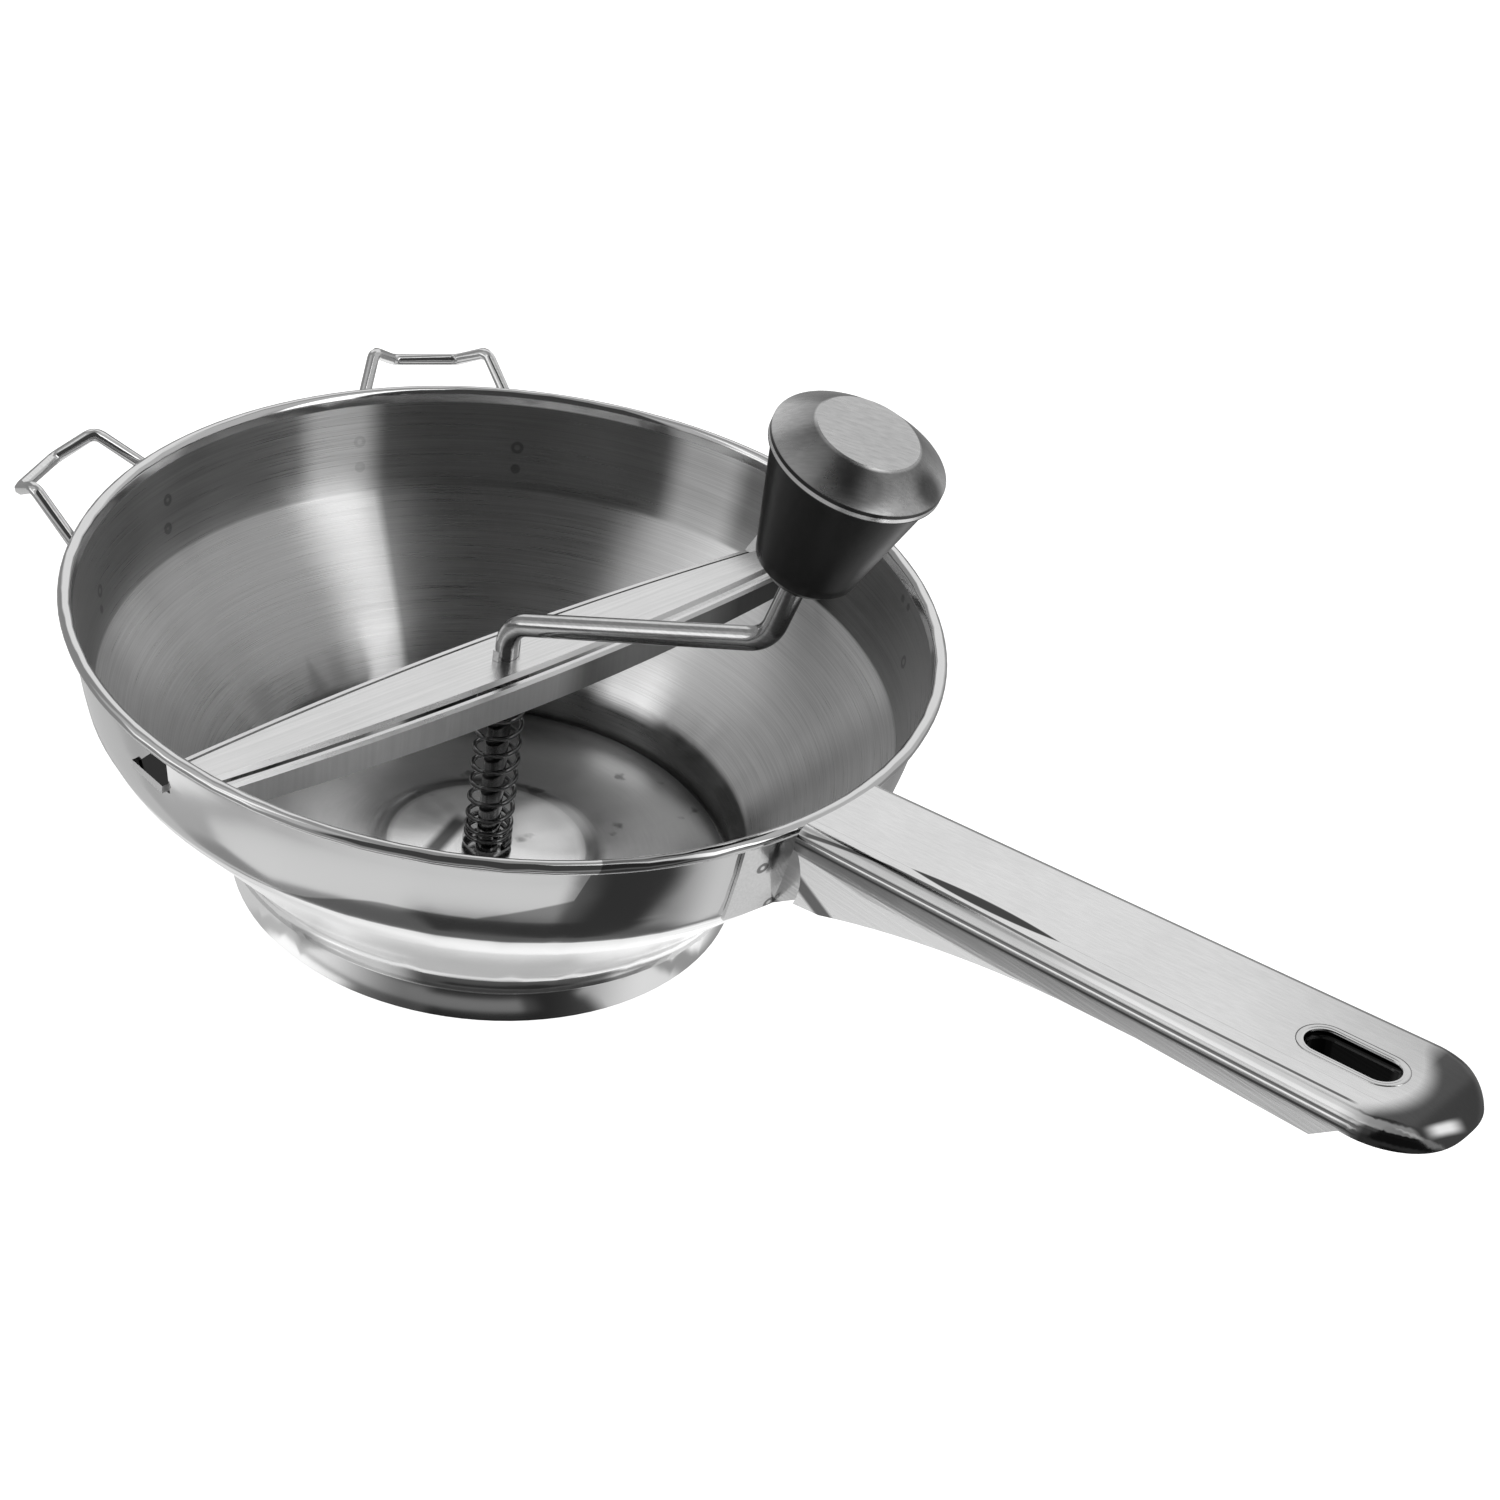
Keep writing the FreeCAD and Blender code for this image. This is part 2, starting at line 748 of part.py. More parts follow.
def make_knob():
    """A tapered grip, bored for the rod, with a steel cap pressed over its top."""
    grip = new_body("knob_grip", knob_placement())
    sketch = new_sketch(grip, "grip_profile", "XZ_Plane")
    bore = "rod_radius + rod_fit"
    outline(
        sketch,
        [
            (bore, "-knob_length"),
            ("knob_foot_radius - knob_foot_round", "-knob_length"),
            ("knob_foot_radius", "-knob_length + knob_foot_round"),
            ("knob_top_radius", "-cap_lip"),
            ("knob_pocket_radius", "-cap_lip"),
            ("knob_pocket_radius", "-knob_pocket_depth"),
            (bore, "-knob_pocket_depth"),
        ],
    )
    revolve(grip, sketch, "grip_turned")
    pieces.append(grip)

    cap = new_body("knob_cap", knob_placement())
    sketch = new_sketch(cap, "cap_profile", "XZ_Plane")
    outline(
        sketch,
        [
            ("cap_radius", "-cap_lip"),
            ("cap_radius", "cap_edge"),
            ("cap_flat_radius", "cap_height"),
            ("0", "cap_height"),
            ("0", "cap_height - cap_sheet"),
            ("cap_flat_radius", "cap_height - cap_sheet"),
            ("cap_flat_radius", "cap_rib"),
            ("cap_radius - cap_sheet", "cap_rib"),
            ("cap_radius - cap_sheet", "-cap_lip"),
        ],
    )
    revolve(cap, sketch, "cap_pressed")
    pieces.append(cap)

    ring = new_body("knob_retainer", knob_placement())
    sketch = new_sketch(ring, "retainer_profile", "XZ_Plane")
    low = "-knob_pocket_depth + retainer_lift"
    outline(
        sketch,
        [
            ("rod_radius", low),
            ("retainer_radius", low),
            ("retainer_radius", f"{low} + retainer_height"),
            ("rod_radius", f"{low} + retainer_height"),
        ],
    )
    revolve(ring, sketch, "retainer_turned")
    pieces.append(ring)


def bar_outline(sketch, inset, reach):
    """The bar's plan: two long bowed sides and square ends."""
    half = f"bar_end_half_width - {inset}"
    bow = f"bar_bow_radius - {inset}"
    outline(
        sketch,
        [
            (f"-({reach})", f"-({half})"),
            (reach, f"-({half})"),
            (reach, half),
            (f"-({reach})", half),
        ],
        {0: (bow, -1, False), 2: (bow, -1, False)},
    )


def make_bar():
    """A pressed channel across the bowl: deep folded sides, a raised panel and a joggled tongue
    at each end."""
    body = new_body("bar", turned("bar_direction"))
    plan = new_sketch(body, "bar_plan", lift="bar_top - flange_depth")
    bar_outline(plan, "0", "bar_half_length")
    block = pad(body, plan, "bar_block", "flange_depth")

    def folds(edge):
        level = abs(edge.BoundBox.ZMin - size("bar_top")) < 0.01
        return level and edge.Length > size("bar_half_length") and edge.BoundBox.ZLength < 0.01

    soften(body, block, "bar_folds", [folds], "bar_fold")
    panel = new_sketch(body, "panel_plan", lift="bar_top")
    bar_outline(panel, "panel_inset", "panel_end")
    raised = pad(body, panel, "bar_panel", "panel_rise")

    def panel_edges(edge):
        return edge.BoundBox.ZMin > size(PANEL_TOP) - 0.01

    doc.recompute()
    slope = body.newObject("PartDesign::Chamfer", "panel_slope")
    slope.Base = (raised, edges_where(raised.Shape, panel_edges))
    bind(slope, Size="panel_slope")
    doc.recompute()
    lower = new_sketch(body, "flange_lower_edge", "XZ_Plane")
    outline(
        lower,
        [
            ("-bar_half_length - cut_margin", "bar_top - flange_end_depth"),
            ("-bar_half_length - cut_margin", "bar_top - flange_depth - cut_margin"),
            ("bar_half_length + cut_margin", "bar_top - flange_depth - cut_margin"),
            ("bar_half_length + cut_margin", "bar_top - flange_end_depth"),
        ],
        {3: ("flange_bow_radius", 1, False)},
    )
    pocket(body, lower, "flange_taper", midplane=True)
    inside = new_sketch(body, "bar_inside_plan", lift="bar_top - bar_sheet")
    bar_outline(inside, "bar_sheet", "bar_half_length + cut_margin")
    pocket(body, inside, "bar_inside", "flange_depth + cut_margin")
    under = new_sketch(body, "panel_inside_plan", lift=f"{PANEL_TOP} - bar_sheet")
    bar_outline(under, "panel_inset + bar_sheet", "panel_end - bar_sheet")
    pocket(body, under, "panel_inside", "flange_depth + cut_margin")
    bore = new_sketch(body, "rod_hole", lift="bar_top + bore_cut / 2")
    circle(bore, "rod_radius + rod_fit")
    pocket(body, bore, "rod_bore", "bore_cut")
    for way, name, side in (("-1", "near", "tongue_right"), ("1", "far", "tongue_left")):
        tongue = new_sketch(body, f"{name}_tongue", "XZ_Plane", lift=f"-{side}")
        outline(
            tongue,
            [
                (f"{way} * joggle_start", "bar_top - bar_sheet"),
                (f"{way} * (bar_half_length - joggle_step)", "tongue_bottom"),
                (f"{way} * tongue_reach", "tongue_bottom"),
                (f"{way} * tongue_reach", "tongue_bottom + tongue_sheet"),
                (f"{way} * (bar_half_length - 2 * joggle_step)", "tongue_bottom + tongue_sheet"),
                (f"{way} * (joggle_start - joggle_step)", "bar_top"),
            ],
        )
        pad(body, tongue, f"{name}_tongue_plate", "tongue_left + tongue_right")
    pieces.append(body)


HANDLE_ROOT_HALF = (
    "(handle_end_round - (handle_tip - handle_end_round - handle_root + cut_margin) * sin(handle_taper))"
    " / cos(handle_taper)"
)


def handle_shape(name, inset):
    """The handle's solid form, drawn in by an inset for its inside."""
    body = new_body(name)
    plan = new_sketch(body, name + "_plan", lift="cut_bottom")
    end = f"(handle_end_round - {inset})"
    root = f"({end} - (handle_tip - handle_end_round - handle_root + cut_margin) * sin(handle_taper))"
    root_half = f"{root} / cos(handle_taper)"
    end_start = f"handle_tip - handle_end_round - {end} * sin(handle_taper)"
    end_half = f"{end} * cos(handle_taper)"
    outline(
        plan,
        [
            ("handle_root - cut_margin", f"-{root_half}"),
            (end_start, f"-{end_half}"),
            (end_start, end_half),
            ("handle_root - cut_margin", root_half),
        ],
        {1: (end, -1, True)},
    )
    pad(body, plan, name + "_block", "cut_top - cut_bottom")
    doc.recompute()
    above = new_sketch(body, name + "_above", "XZ_Plane")
    ridge = "(handle_root_top + (tip_start - handle_root) * tan(handle_slope))"
    centre_x = "(tip_start + tip_round * sin(handle_slope))"
    centre_z = f"({ridge} - tip_round * cos(handle_slope))"
    roll = f"(tip_round - {inset})"
    outline(
        above,
        [
            (
                "handle_root - side_cut",
                f"handle_root_top - {inset} / cos(handle_slope) - side_cut * tan(handle_slope)",
            ),
            (
                f"{centre_x} - {roll} * sin(handle_slope)",
                f"{centre_z} + {roll} * cos(handle_slope)",
            ),
            (
                "handle_tip + cut_margin",
                f"{centre_z} + sqrt({roll} ^ 2 - (handle_tip + cut_margin - {centre_x}) ^ 2)",
            ),
            ("handle_tip + cut_margin", "cut_top"),
            ("handle_root - side_cut", "cut_top"),
        ],
        {1: (roll, 1, False)},
    )
    cut = pocket(body, above, name + "_top", midplane=True)

    def shoulders(edge):
        box = edge.BoundBox
        return box.ZMin > size("handle_root_top") - 3 and box.XLength > 1

    if inset == "0":
        fillet(body, cut, name + "_shoulders", shoulders, "handle_shoulder")
    else:
        soften(body, cut, name + "_shoulders", [shoulders], f"(handle_shoulder - {inset}) * shoulder_share")
    return body


BEND_RUN = "(bend_end_reach - handle_root)"
BEND_RISE = "(bend_end_height - wall_root_height)"


def make_gusset(name, side):
    """The part of a side wall that is bent inwards below a line, deep at the bowl."""
    body = new_body(name)
    sketch = new_sketch(body, name + "_outline", "XZ_Plane")
    outline(
        sketch,
        [
            ("gusset_root", "weld_gap"),
            ("gusset_foot", "-gusset_depth"),
            ("gusset_toe_reach", "-gusset_toe_depth"),
            ("gusset_length", "weld_gap"),
        ],
        {
            0: ("gusset_mouth_radius", 1, False),
            2: ("gusset_edge_radius", 1, False),
        },
    )
    plate = pad(body, sketch, name + "_plate", "handle_sheet")
    plate.Reversed = side < 0
    along = Rotation(Vector(0, 0, 1), side * size("handle_taper"))
    climb = Rotation(Vector(0, 1, 0), -size(f"atan({BEND_RISE} / {BEND_RUN})"))
    lean = Rotation(Vector(1, 0, 0), -side * size("gusset_tilt"))
    half = f"{HANDLE_ROOT_HALF} + tan(handle_taper)"
    root = Vector(size("handle_root"), side * size(half), size("wall_root_height"))
    body.Placement = Placement(root, along * climb * lean)
    return body


def make_handle():
    """A channel pressed from sheet: sloped top, rounded shoulders, side walls that deepen
    towards the bowl, a domed tip and a hanging slot with a turned down edge."""
    outer = handle_shape("handle_outer", "0")
    inner = handle_shape("handle_inner", "handle_sheet")
    below = new_sketch(outer, "handle_lower_edge", "XZ_Plane")
    outline(
        below,
        [
            ("handle_root - side_cut", "wall_root_height"),
            ("handle_root", "wall_root_height"),
            ("fold_reach", "fold_height"),
            ("fold_end_reach", "fold_end_height"),
            ("wall_end_reach", "wall_end_height"),
            ("notch_reach", "notch_height"),
            ("notch_end_reach", "notch_end_height"),
            ("handle_tip + side_cut", "tip_edge_height"),
            ("handle_tip + side_cut", "cut_bottom"),
            ("handle_root - side_cut", "cut_bottom"),
        ],
    )
    pocket(outer, below, "handle_under", midplane=True)
    shell = doc.addObject("Part::Cut", "handle_shell")
    shell.Base = outer
    shell.Tool = inner
    bowl_space = doc.addObject("Part::Cylinder", "handle_root_cut")
    bind(bowl_space, Radius="rim_radius + weld_gap", Height="cut_top")
    slot = new_body("hang_slot")
    lip = new_body("hang_lip")
    ridge = "(handle_root_top + (hang_middle - handle_root) * tan(handle_slope))"
    for body, margin, bottom in ((slot, "0", "-slot_cut / 2"), (lip, "hang_lip", "-hang_lip_depth")):
        sketch = new_sketch(body, body.Name + "_outline", lift=bottom)
        flat = "(hang_length - hang_width) / 2"
        round_half = f"(hang_width / 2 + {margin})"
        outline(
            sketch,
            [
                (f"-{flat}", f"-{round_half}"),
                (flat, f"-{round_half}"),
                (flat, round_half),
                (f"-{flat}", round_half),
            ],
            {1: (round_half + " + 0.001", -1, False), 3: (round_half + " + 0.001", -1, False)},
        )
        pad(body, sketch, body.Name + "_block", "slot_cut" if body is slot else "hang_lip_depth - weld_gap")
        lean = Rotation(Vector(0, 1, 0), -size("handle_slope"))
        body.Placement = Placement(Vector(size("hang_middle"), 0, size(ridge)), lean)
    whole = doc.addObject("Part::MultiFuse", "handle_with_lip")
    whole.Shapes = [shell, lip, make_gusset("near_gusset", -1), make_gusset("far_gusset", 1)]
    trimmed = doc.addObject("Part::Cut", "handle_trimmed")
    trimmed.Base = whole
    trimmed.Tool = bowl_space
    handle = doc.addObject("Part::Cut", "handle")
    handle.Base = trimmed
    handle.Tool = slot
    handle.Label = "handle"
    pieces.append(handle)


def make_bracket():
    """Two plates that lie on the band, joined by ears that stand out inside the handle."""
    body = new_body("handle_bracket")
    sketch = new_sketch(body, "plate_profile", "XZ_Plane")
    low = band_radius("bracket_bottom") + " + seat_gap"
    high = band_radius("bracket_top") + " + seat_gap"
    levels = ["bracket_bottom", *BAND_LEVELS, "bracket_top"]
    inside = [(f"{band_radius(level)} + seat_gap", level) for level in levels]
    outside = [(f"{radius} + bracket_sheet", level) for radius, level in inside]
    outline(sketch, outside + inside[::-1])
    revolve(body, sketch, "plate_band", "2 * bracket_half_angle")
    doc.recompute()
    middle = new_sketch(body, "middle_outline", "YZ_Plane")
    outline(
        middle,
        [
            ("-ear_gap_half", "bracket_bottom - cut_margin"),
            ("ear_gap_half", "bracket_bottom - cut_margin"),
            ("ear_gap_half", "bracket_top + cut_margin"),
            ("-ear_gap_half", "bracket_top + cut_margin"),
        ],
    )
    pocket(body, middle, "middle_gap", upward=True)
    ears = new_sketch(body, "ear_side", "XZ_Plane", lift="-ear_gap_half - bracket_sheet")
    outline(
        ears,
        [
            (f"{low} + weld_gap", "bracket_bottom"),
            (f"{low} + ear_neck", "bracket_bottom + bracket_web"),
            ("bracket_reach", "bracket_top - bracket_web"),
            ("bracket_reach", "bracket_top"),
            (f"{high} + weld_gap", "bracket_top"),
        ],
    )
    pad(body, ears, "ear_plate", "bracket_sheet")
    mirror = body.newObject("PartDesign::Mirrored", "ear_plates")
    mirror.Originals = [body.Tip]
    plane = [p for p in body.Origin.OriginFeatures if p.Role == "XZ_Plane"][0]
    mirror.MirrorPlane = (plane, [""])
    body.Tip = mirror
    doc.recompute()
    web = new_sketch(body, "web_outline", lift="bracket_top - bracket_web")
    outline(
        web,
        [
            ("bracket_reach - bracket_sheet", "-ear_gap_half - bracket_sheet / 2"),
            ("bracket_reach", "-ear_gap_half - bracket_sheet / 2"),
            ("bracket_reach", "ear_gap_half + bracket_sheet / 2"),
            ("bracket_reach - bracket_sheet", "ear_gap_half + bracket_sheet / 2"),
        ],
    )
    pad(body, web, "web_plate", "bracket_web")
    pieces.append(body)


def ring_of_sides(middle, ahead, radius, sides):
    """A regular outline about a point, square to the way ahead."""
    way = (ahead - middle).normalize()
    across = way.cross(Vector(0, 0, 1) if abs(way.z) < 0.7 else Vector(1, 0, 0)).normalize()
    upward = way.cross(across)
    rim = []
    for side in range(sides + 1):
        angle = 2 * math.pi * side / sides
        rim.append(middle + (across * math.cos(angle) + upward * math.sin(angle)) * radius)
    return Part.makePolygon(rim)


def rounded_path(points, rounds, steps):
    """The places along a path whose corners are rounded, each in equal short chords."""
    places = [points[0]]
    for corner in range(1, len(points) - 1):
        into = (points[corner] - points[corner - 1]).normalize()
        out = (points[corner + 1] - points[corner]).normalize()
        turn = into.getAngle(out)
        radius = rounds[corner - 1]
        near = points[corner] - into * (radius * math.tan(turn / 2))
        inward = (out - into * out.dot(into)).normalize()
        centre = near + inward * radius
        for step in range(steps + 1):
            angle = turn * step / steps
            places.append(centre - inward * (radius * math.cos(angle)) + into * (radius * math.sin(angle)))
    places.append(points[-1])
    return places


def make_hooks():
    """Two wire hooks on the band that rest on a pot's edge."""
    radius = size("hook_wire") / 2
    spread = size("hook_spread")

    def on_band(alias):
        """A leg's place, where the wire lies on the band."""
        across = size(f"{band_radius(alias)} + hook_wire / 2 + weld_gap")
        return (math.sqrt(across * across - spread * spread), spread, size(alias))

    def away(name):
        return tuple(size(f"{name}_{part}") for part in ("reach", "half", "height"))

    half = [
        on_band("hook_foot_height"),
        on_band("hook_bend_height"),
        away("hook_corner"),
        away("hook_bar"),
    ]
    points = [Vector(*place) for place in half]
    points += [Vector(x, -y, z) for x, y, z in reversed(half)]
    bend, corner = size("hook_bend_round"), size("hook_corner_round")
    path = Part.makePolygon(rounded_path(points, [bend, corner, corner, corner, corner, bend], 4))
    section = ring_of_sides(points[0], points[1], radius, 8)
    wire = path.makePipeShell([section], True, False, 1)
    for name in ("left_hook_direction", "right_hook_direction"):
        set_shape("hook_" + name.split("_")[0], wire, turned(name))


make_bowl()
make_sieve_disc()
make_blade()
make_rod_collars()
make_spring()
make_crank()
make_knob()
make_bar()
make_handle()
make_bracket()
make_hooks()
doc.recompute()

for thing in doc.Objects:
    if {"Invalid", "Error"} & set(thing.State):
        raise ValueError(f"{thing.Label} failed: {thing.State}")
for piece in pieces:
    if piece.Shape.isNull() or not piece.Shape.isValid():
        raise ValueError(f"{piece.Label} has no valid shape")
os.makedirs("parts", exist_ok=True)
for piece in pieces:
    piece.Shape.exportStep(f"parts/{piece.Label}.step")
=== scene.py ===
import math

import bpy
from mathutils import Matrix, Vector


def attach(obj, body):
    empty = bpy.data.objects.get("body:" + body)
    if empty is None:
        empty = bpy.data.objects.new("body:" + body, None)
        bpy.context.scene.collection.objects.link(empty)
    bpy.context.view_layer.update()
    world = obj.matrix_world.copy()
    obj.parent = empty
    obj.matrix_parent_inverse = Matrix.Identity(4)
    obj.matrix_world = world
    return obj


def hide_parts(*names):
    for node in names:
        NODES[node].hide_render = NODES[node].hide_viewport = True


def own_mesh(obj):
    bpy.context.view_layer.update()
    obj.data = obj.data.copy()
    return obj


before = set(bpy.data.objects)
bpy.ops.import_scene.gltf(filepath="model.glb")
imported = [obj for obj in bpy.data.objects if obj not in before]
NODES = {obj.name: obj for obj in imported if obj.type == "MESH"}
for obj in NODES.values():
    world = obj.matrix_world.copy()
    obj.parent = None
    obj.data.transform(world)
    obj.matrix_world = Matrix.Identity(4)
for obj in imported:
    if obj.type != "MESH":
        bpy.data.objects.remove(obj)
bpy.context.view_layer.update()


# Camera at the photograph's place, fitted to the circles of the rim, crease and base

CAMERA_PLACE = Vector((0.39915, -0.42213, 0.44428))
CAMERA_RIGHT = Vector((0.73112, 0.66843, 0.13661))
CAMERA_UP = Vector((-0.46837, 0.34617, 0.81289))
CAMERA_BACK = Vector((0.49607, -0.65831, 0.56616))
SENSOR = 36.0
FOCAL = 65.64


def make_camera():
    data = bpy.data.cameras.new("camera")
    data.sensor_width = SENSOR
    data.lens = FOCAL
    data.clip_start = 0.01
    data.clip_end = 20.0
    camera = bpy.data.objects.new("camera", data)
    bpy.context.scene.collection.objects.link(camera)
    turn = Matrix((CAMERA_RIGHT, CAMERA_UP, CAMERA_BACK)).transposed()
    camera.matrix_world = Matrix.Translation(CAMERA_PLACE) @ turn.to_4x4()
    bpy.context.scene.camera = camera


# Helpers that build node trees, in which a value is a number or another node's output

# Nearly all values of a noise texture lie between these two
NOISE_LOW = 0.3
NOISE_HIGH = 0.7


class Nodes:
    """Adds nodes to a tree."""

    def __init__(self, tree):
        self.tree = tree

    def link(self, start, end):
        self.tree.links.new(start, end)

    def plug(self, made, values):
        for place, value in enumerate(values):
            if isinstance(value, (int, float)):
                made.inputs[place].default_value = value
            else:
                self.link(value, made.inputs[place])

    def math(self, operation, *values, clamp=False):
        made = self.tree.nodes.new("ShaderNodeMath")
        made.operation = operation
        made.use_clamp = clamp
        self.plug(made, values)
        return made.outputs[0]

    def chain(self, operation, first, *others):
        for other in others:
            first = self.math(operation, first, other)
        return first

    def add(self, *values):
        return self.chain("ADD", *values)

    def times(self, *values):
        return self.chain("MULTIPLY", *values)

    def most(self, *values):
        return self.chain("MAXIMUM", *values)

    def minus(self, value, other):
        return self.math("SUBTRACT", value, other)

    def rest(self, share):
        """What a share leaves of one."""
        return self.minus(1.0, share)

    def size(self, value):
        return self.math("ABSOLUTE", value)

    def reach(self, x, y):
        """The length of a flat vector."""
        return self.math("SQRT", self.add(self.times(x, x), self.times(y, y)))

    def vector(self, x, y, z):
        made = self.tree.nodes.new("ShaderNodeCombineXYZ")
        self.plug(made, (x, y, z))
        return made.outputs[0]

    def split(self, where):
        made = self.tree.nodes.new("ShaderNodeSeparateXYZ")
        self.link(where, made.inputs[0])
        return made.outputs

    def turn(self, where, degrees):
        """The place seen after a turn of the object by minus so many degrees about Z."""
        made = self.tree.nodes.new("ShaderNodeVectorRotate")
        made.rotation_type = "Z_AXIS"
        made.inputs["Angle"].default_value = -math.radians(degrees)
        self.link(where, made.inputs["Vector"])
        return made.outputs[0]

    def noise(self, where, scale, detail, roughness=0.55):
        made = self.tree.nodes.new("ShaderNodeTexNoise")
        made.inputs["Scale"].default_value = scale
        made.inputs["Detail"].default_value = detail
        made.inputs["Roughness"].default_value = roughness
        self.link(where, made.inputs["Vector"])
        return made.outputs["Fac"]

    def spread(self, value, low, high, to_low, to_high, smooth=False):
        """The range from low to high laid over another range, and held at its ends."""
        made = self.tree.nodes.new("ShaderNodeMapRange")
        if smooth:
            made.interpolation_type = "SMOOTHSTEP"
        self.plug(made, (value, low, high, to_low, to_high))
        return made.outputs[0]

    def vary(self, pattern, middle, swing):
        """A noise pattern's usual range laid round a middle value."""
        return self.spread(pattern, NOISE_LOW, NOISE_HIGH, middle - swing, middle + swing)

    def ramps(self, value, rows):
        """One spread for each row of its limits."""
        return [self.spread(value, *row) for row in rows]

    def over(self, value, edge, soft):
        """Zero below the edge and one above it."""
        return self.spread(value, edge - soft, edge + soft, 0.0, 1.0)

    def under(self, value, edge, soft):
        """One below the edge and zero above it."""
        return self.spread(value, edge - soft, edge + soft, 1.0, 0.0)

    def near(self, value, middle, half, soft):
        """One within half of the middle, and zero beyond half plus soft."""
        return self.spread(self.size(self.minus(value, middle)), half, half + soft, 1.0, 0.0, smooth=True)

    def between(self, value, low, high, soft):
        """One from low to high, and zero beyond them."""
        return self.near(value, (low + high) / 2, (high - low) / 2, soft)

    def blend(self, share, low, high):
        """From low to high as the share goes from 0 to 1."""
        return self.add(low, self.times(share, self.minus(high, low)))

    def dim(self, tone, share, kept):
        """The tone, of which only the kept part is left where the share is one."""
        return self.times(tone, self.spread(share, 0.0, 1.0, 1.0, kept))

    def grey(self, value):
        made = self.tree.nodes.new("ShaderNodeCombineColor")
        for channel in range(3):
            self.link(value, made.inputs[channel])
        return made.outputs[0]


# Floor and surroundings: soft boxes and dark cloths round the object, in degrees

LOW_LIGHT = 0.3
OVERHEAD = 0.35
PANELS = (
    # azimuth, its half width and softness, elevation, its half height and softness, brightness
    (-42, 40, 6, 40, 40, 15, 0.06),
    (12, 8, 5, 43, 32, 10, 2.0),
    (62, 32, 8, 34, 34, 14, 0.58),
    (-125, 34, 8, 36, 24, 12, 0.55),
    (-114, 4, 5, 40, 14, 8, 1.3),
    (-120, 14, 10, 8, 6, 5, 1.4),
    (-172, 12, 8, 22, 14, 10, 0.3),
    (127, 34, 14, 30, 15, 10, 0.95),
    (-165, 25, 12, -44, 7, 5, 0.48),
    (-130, 18, 14, -42, 3, 2, 1.1),
    (-28, 34, 8, -38, 9, 3, 0.1),
    (-80, 58, 6, -56, 6, 2, 0.84),
    (6, 12, 12, -52, 20, 4, 0.1),
    (38, 18, 10, -48, 14, 6, 0.75),
    (-25, 42, 12, -69, 7, 3, 0.1),
    (133, 45, 12, -62, 15, 8, 1.1),
    (162, 20, 10, -45, 14, 6, 0.6),
)
FLOOR_REACH = 60.0
FLOOR_HEIGHT = -0.0001


def make_floor():
    """A white floor that mirrors don't see."""
    mesh = bpy.data.meshes.new("floor")
    corners = [
        (x * FLOOR_REACH, y * FLOOR_REACH, FLOOR_HEIGHT)
        for x, y in ((-1, -1), (1, -1), (1, 1), (-1, 1))
    ]
    mesh.from_pydata(corners, [], [(0, 1, 2, 3)])
    floor = bpy.data.objects.new("floor", mesh)
    bpy.context.scene.collection.objects.link(floor)
    floor.visible_glossy = False
    material = bpy.data.materials.new("floor_pale")
    material.use_nodes = True
    shader = material.node_tree.nodes["Principled BSDF"]
    shader.inputs["Base Color"].default_value = (0.5, 0.5, 0.5, 1)
    shader.inputs["Roughness"].default_value = 0.9
    shader.inputs["Specular IOR Level"].default_value = 0.0
    shader.inputs["Emission Color"].default_value = (1, 1, 1, 1)
    shader.inputs["Emission Strength"].default_value = 1.0
    mesh.materials.append(material)


def make_surroundings():
    """A soft grey world with the panels in it."""
    world = bpy.data.worlds.new("studio")
    bpy.context.scene.world = world
    world.use_nodes = True
    nodes = Nodes(world.node_tree)
    background = world.node_tree.nodes["Background"]
    where = world.node_tree.nodes.new("ShaderNodeTexCoord").outputs["Generated"]
    height = nodes.split(where)["Z"]
    elevation = nodes.math("DEGREES", nodes.math("ARCSINE", height))
    light = nodes.spread(elevation, -10, 60, LOW_LIGHT, OVERHEAD, smooth=True)
    for azimuth, wide, fade, level, high, soft, bright in PANELS:
        x, y, _ = nodes.split(nodes.turn(where, azimuth))
        aside = nodes.math("DEGREES", nodes.math("ARCTAN2", y, x))
        inside = nodes.times(nodes.near(aside, 0.0, wide, fade), nodes.near(elevation, level, high, soft))
        light = nodes.blend(inside, light, bright)
    nodes.link(nodes.grey(light), background.inputs["Color"])
    background.inputs["Strength"].default_value = 1.0
    bpy.context.scene.view_settings.view_transform = "Standard"


# Recipe of a material

# How much a ring mark changes with height, beside its change with the distance from the axis
HEIGHT_SHARE = 0.8
QUARTER_TURN = 0.25


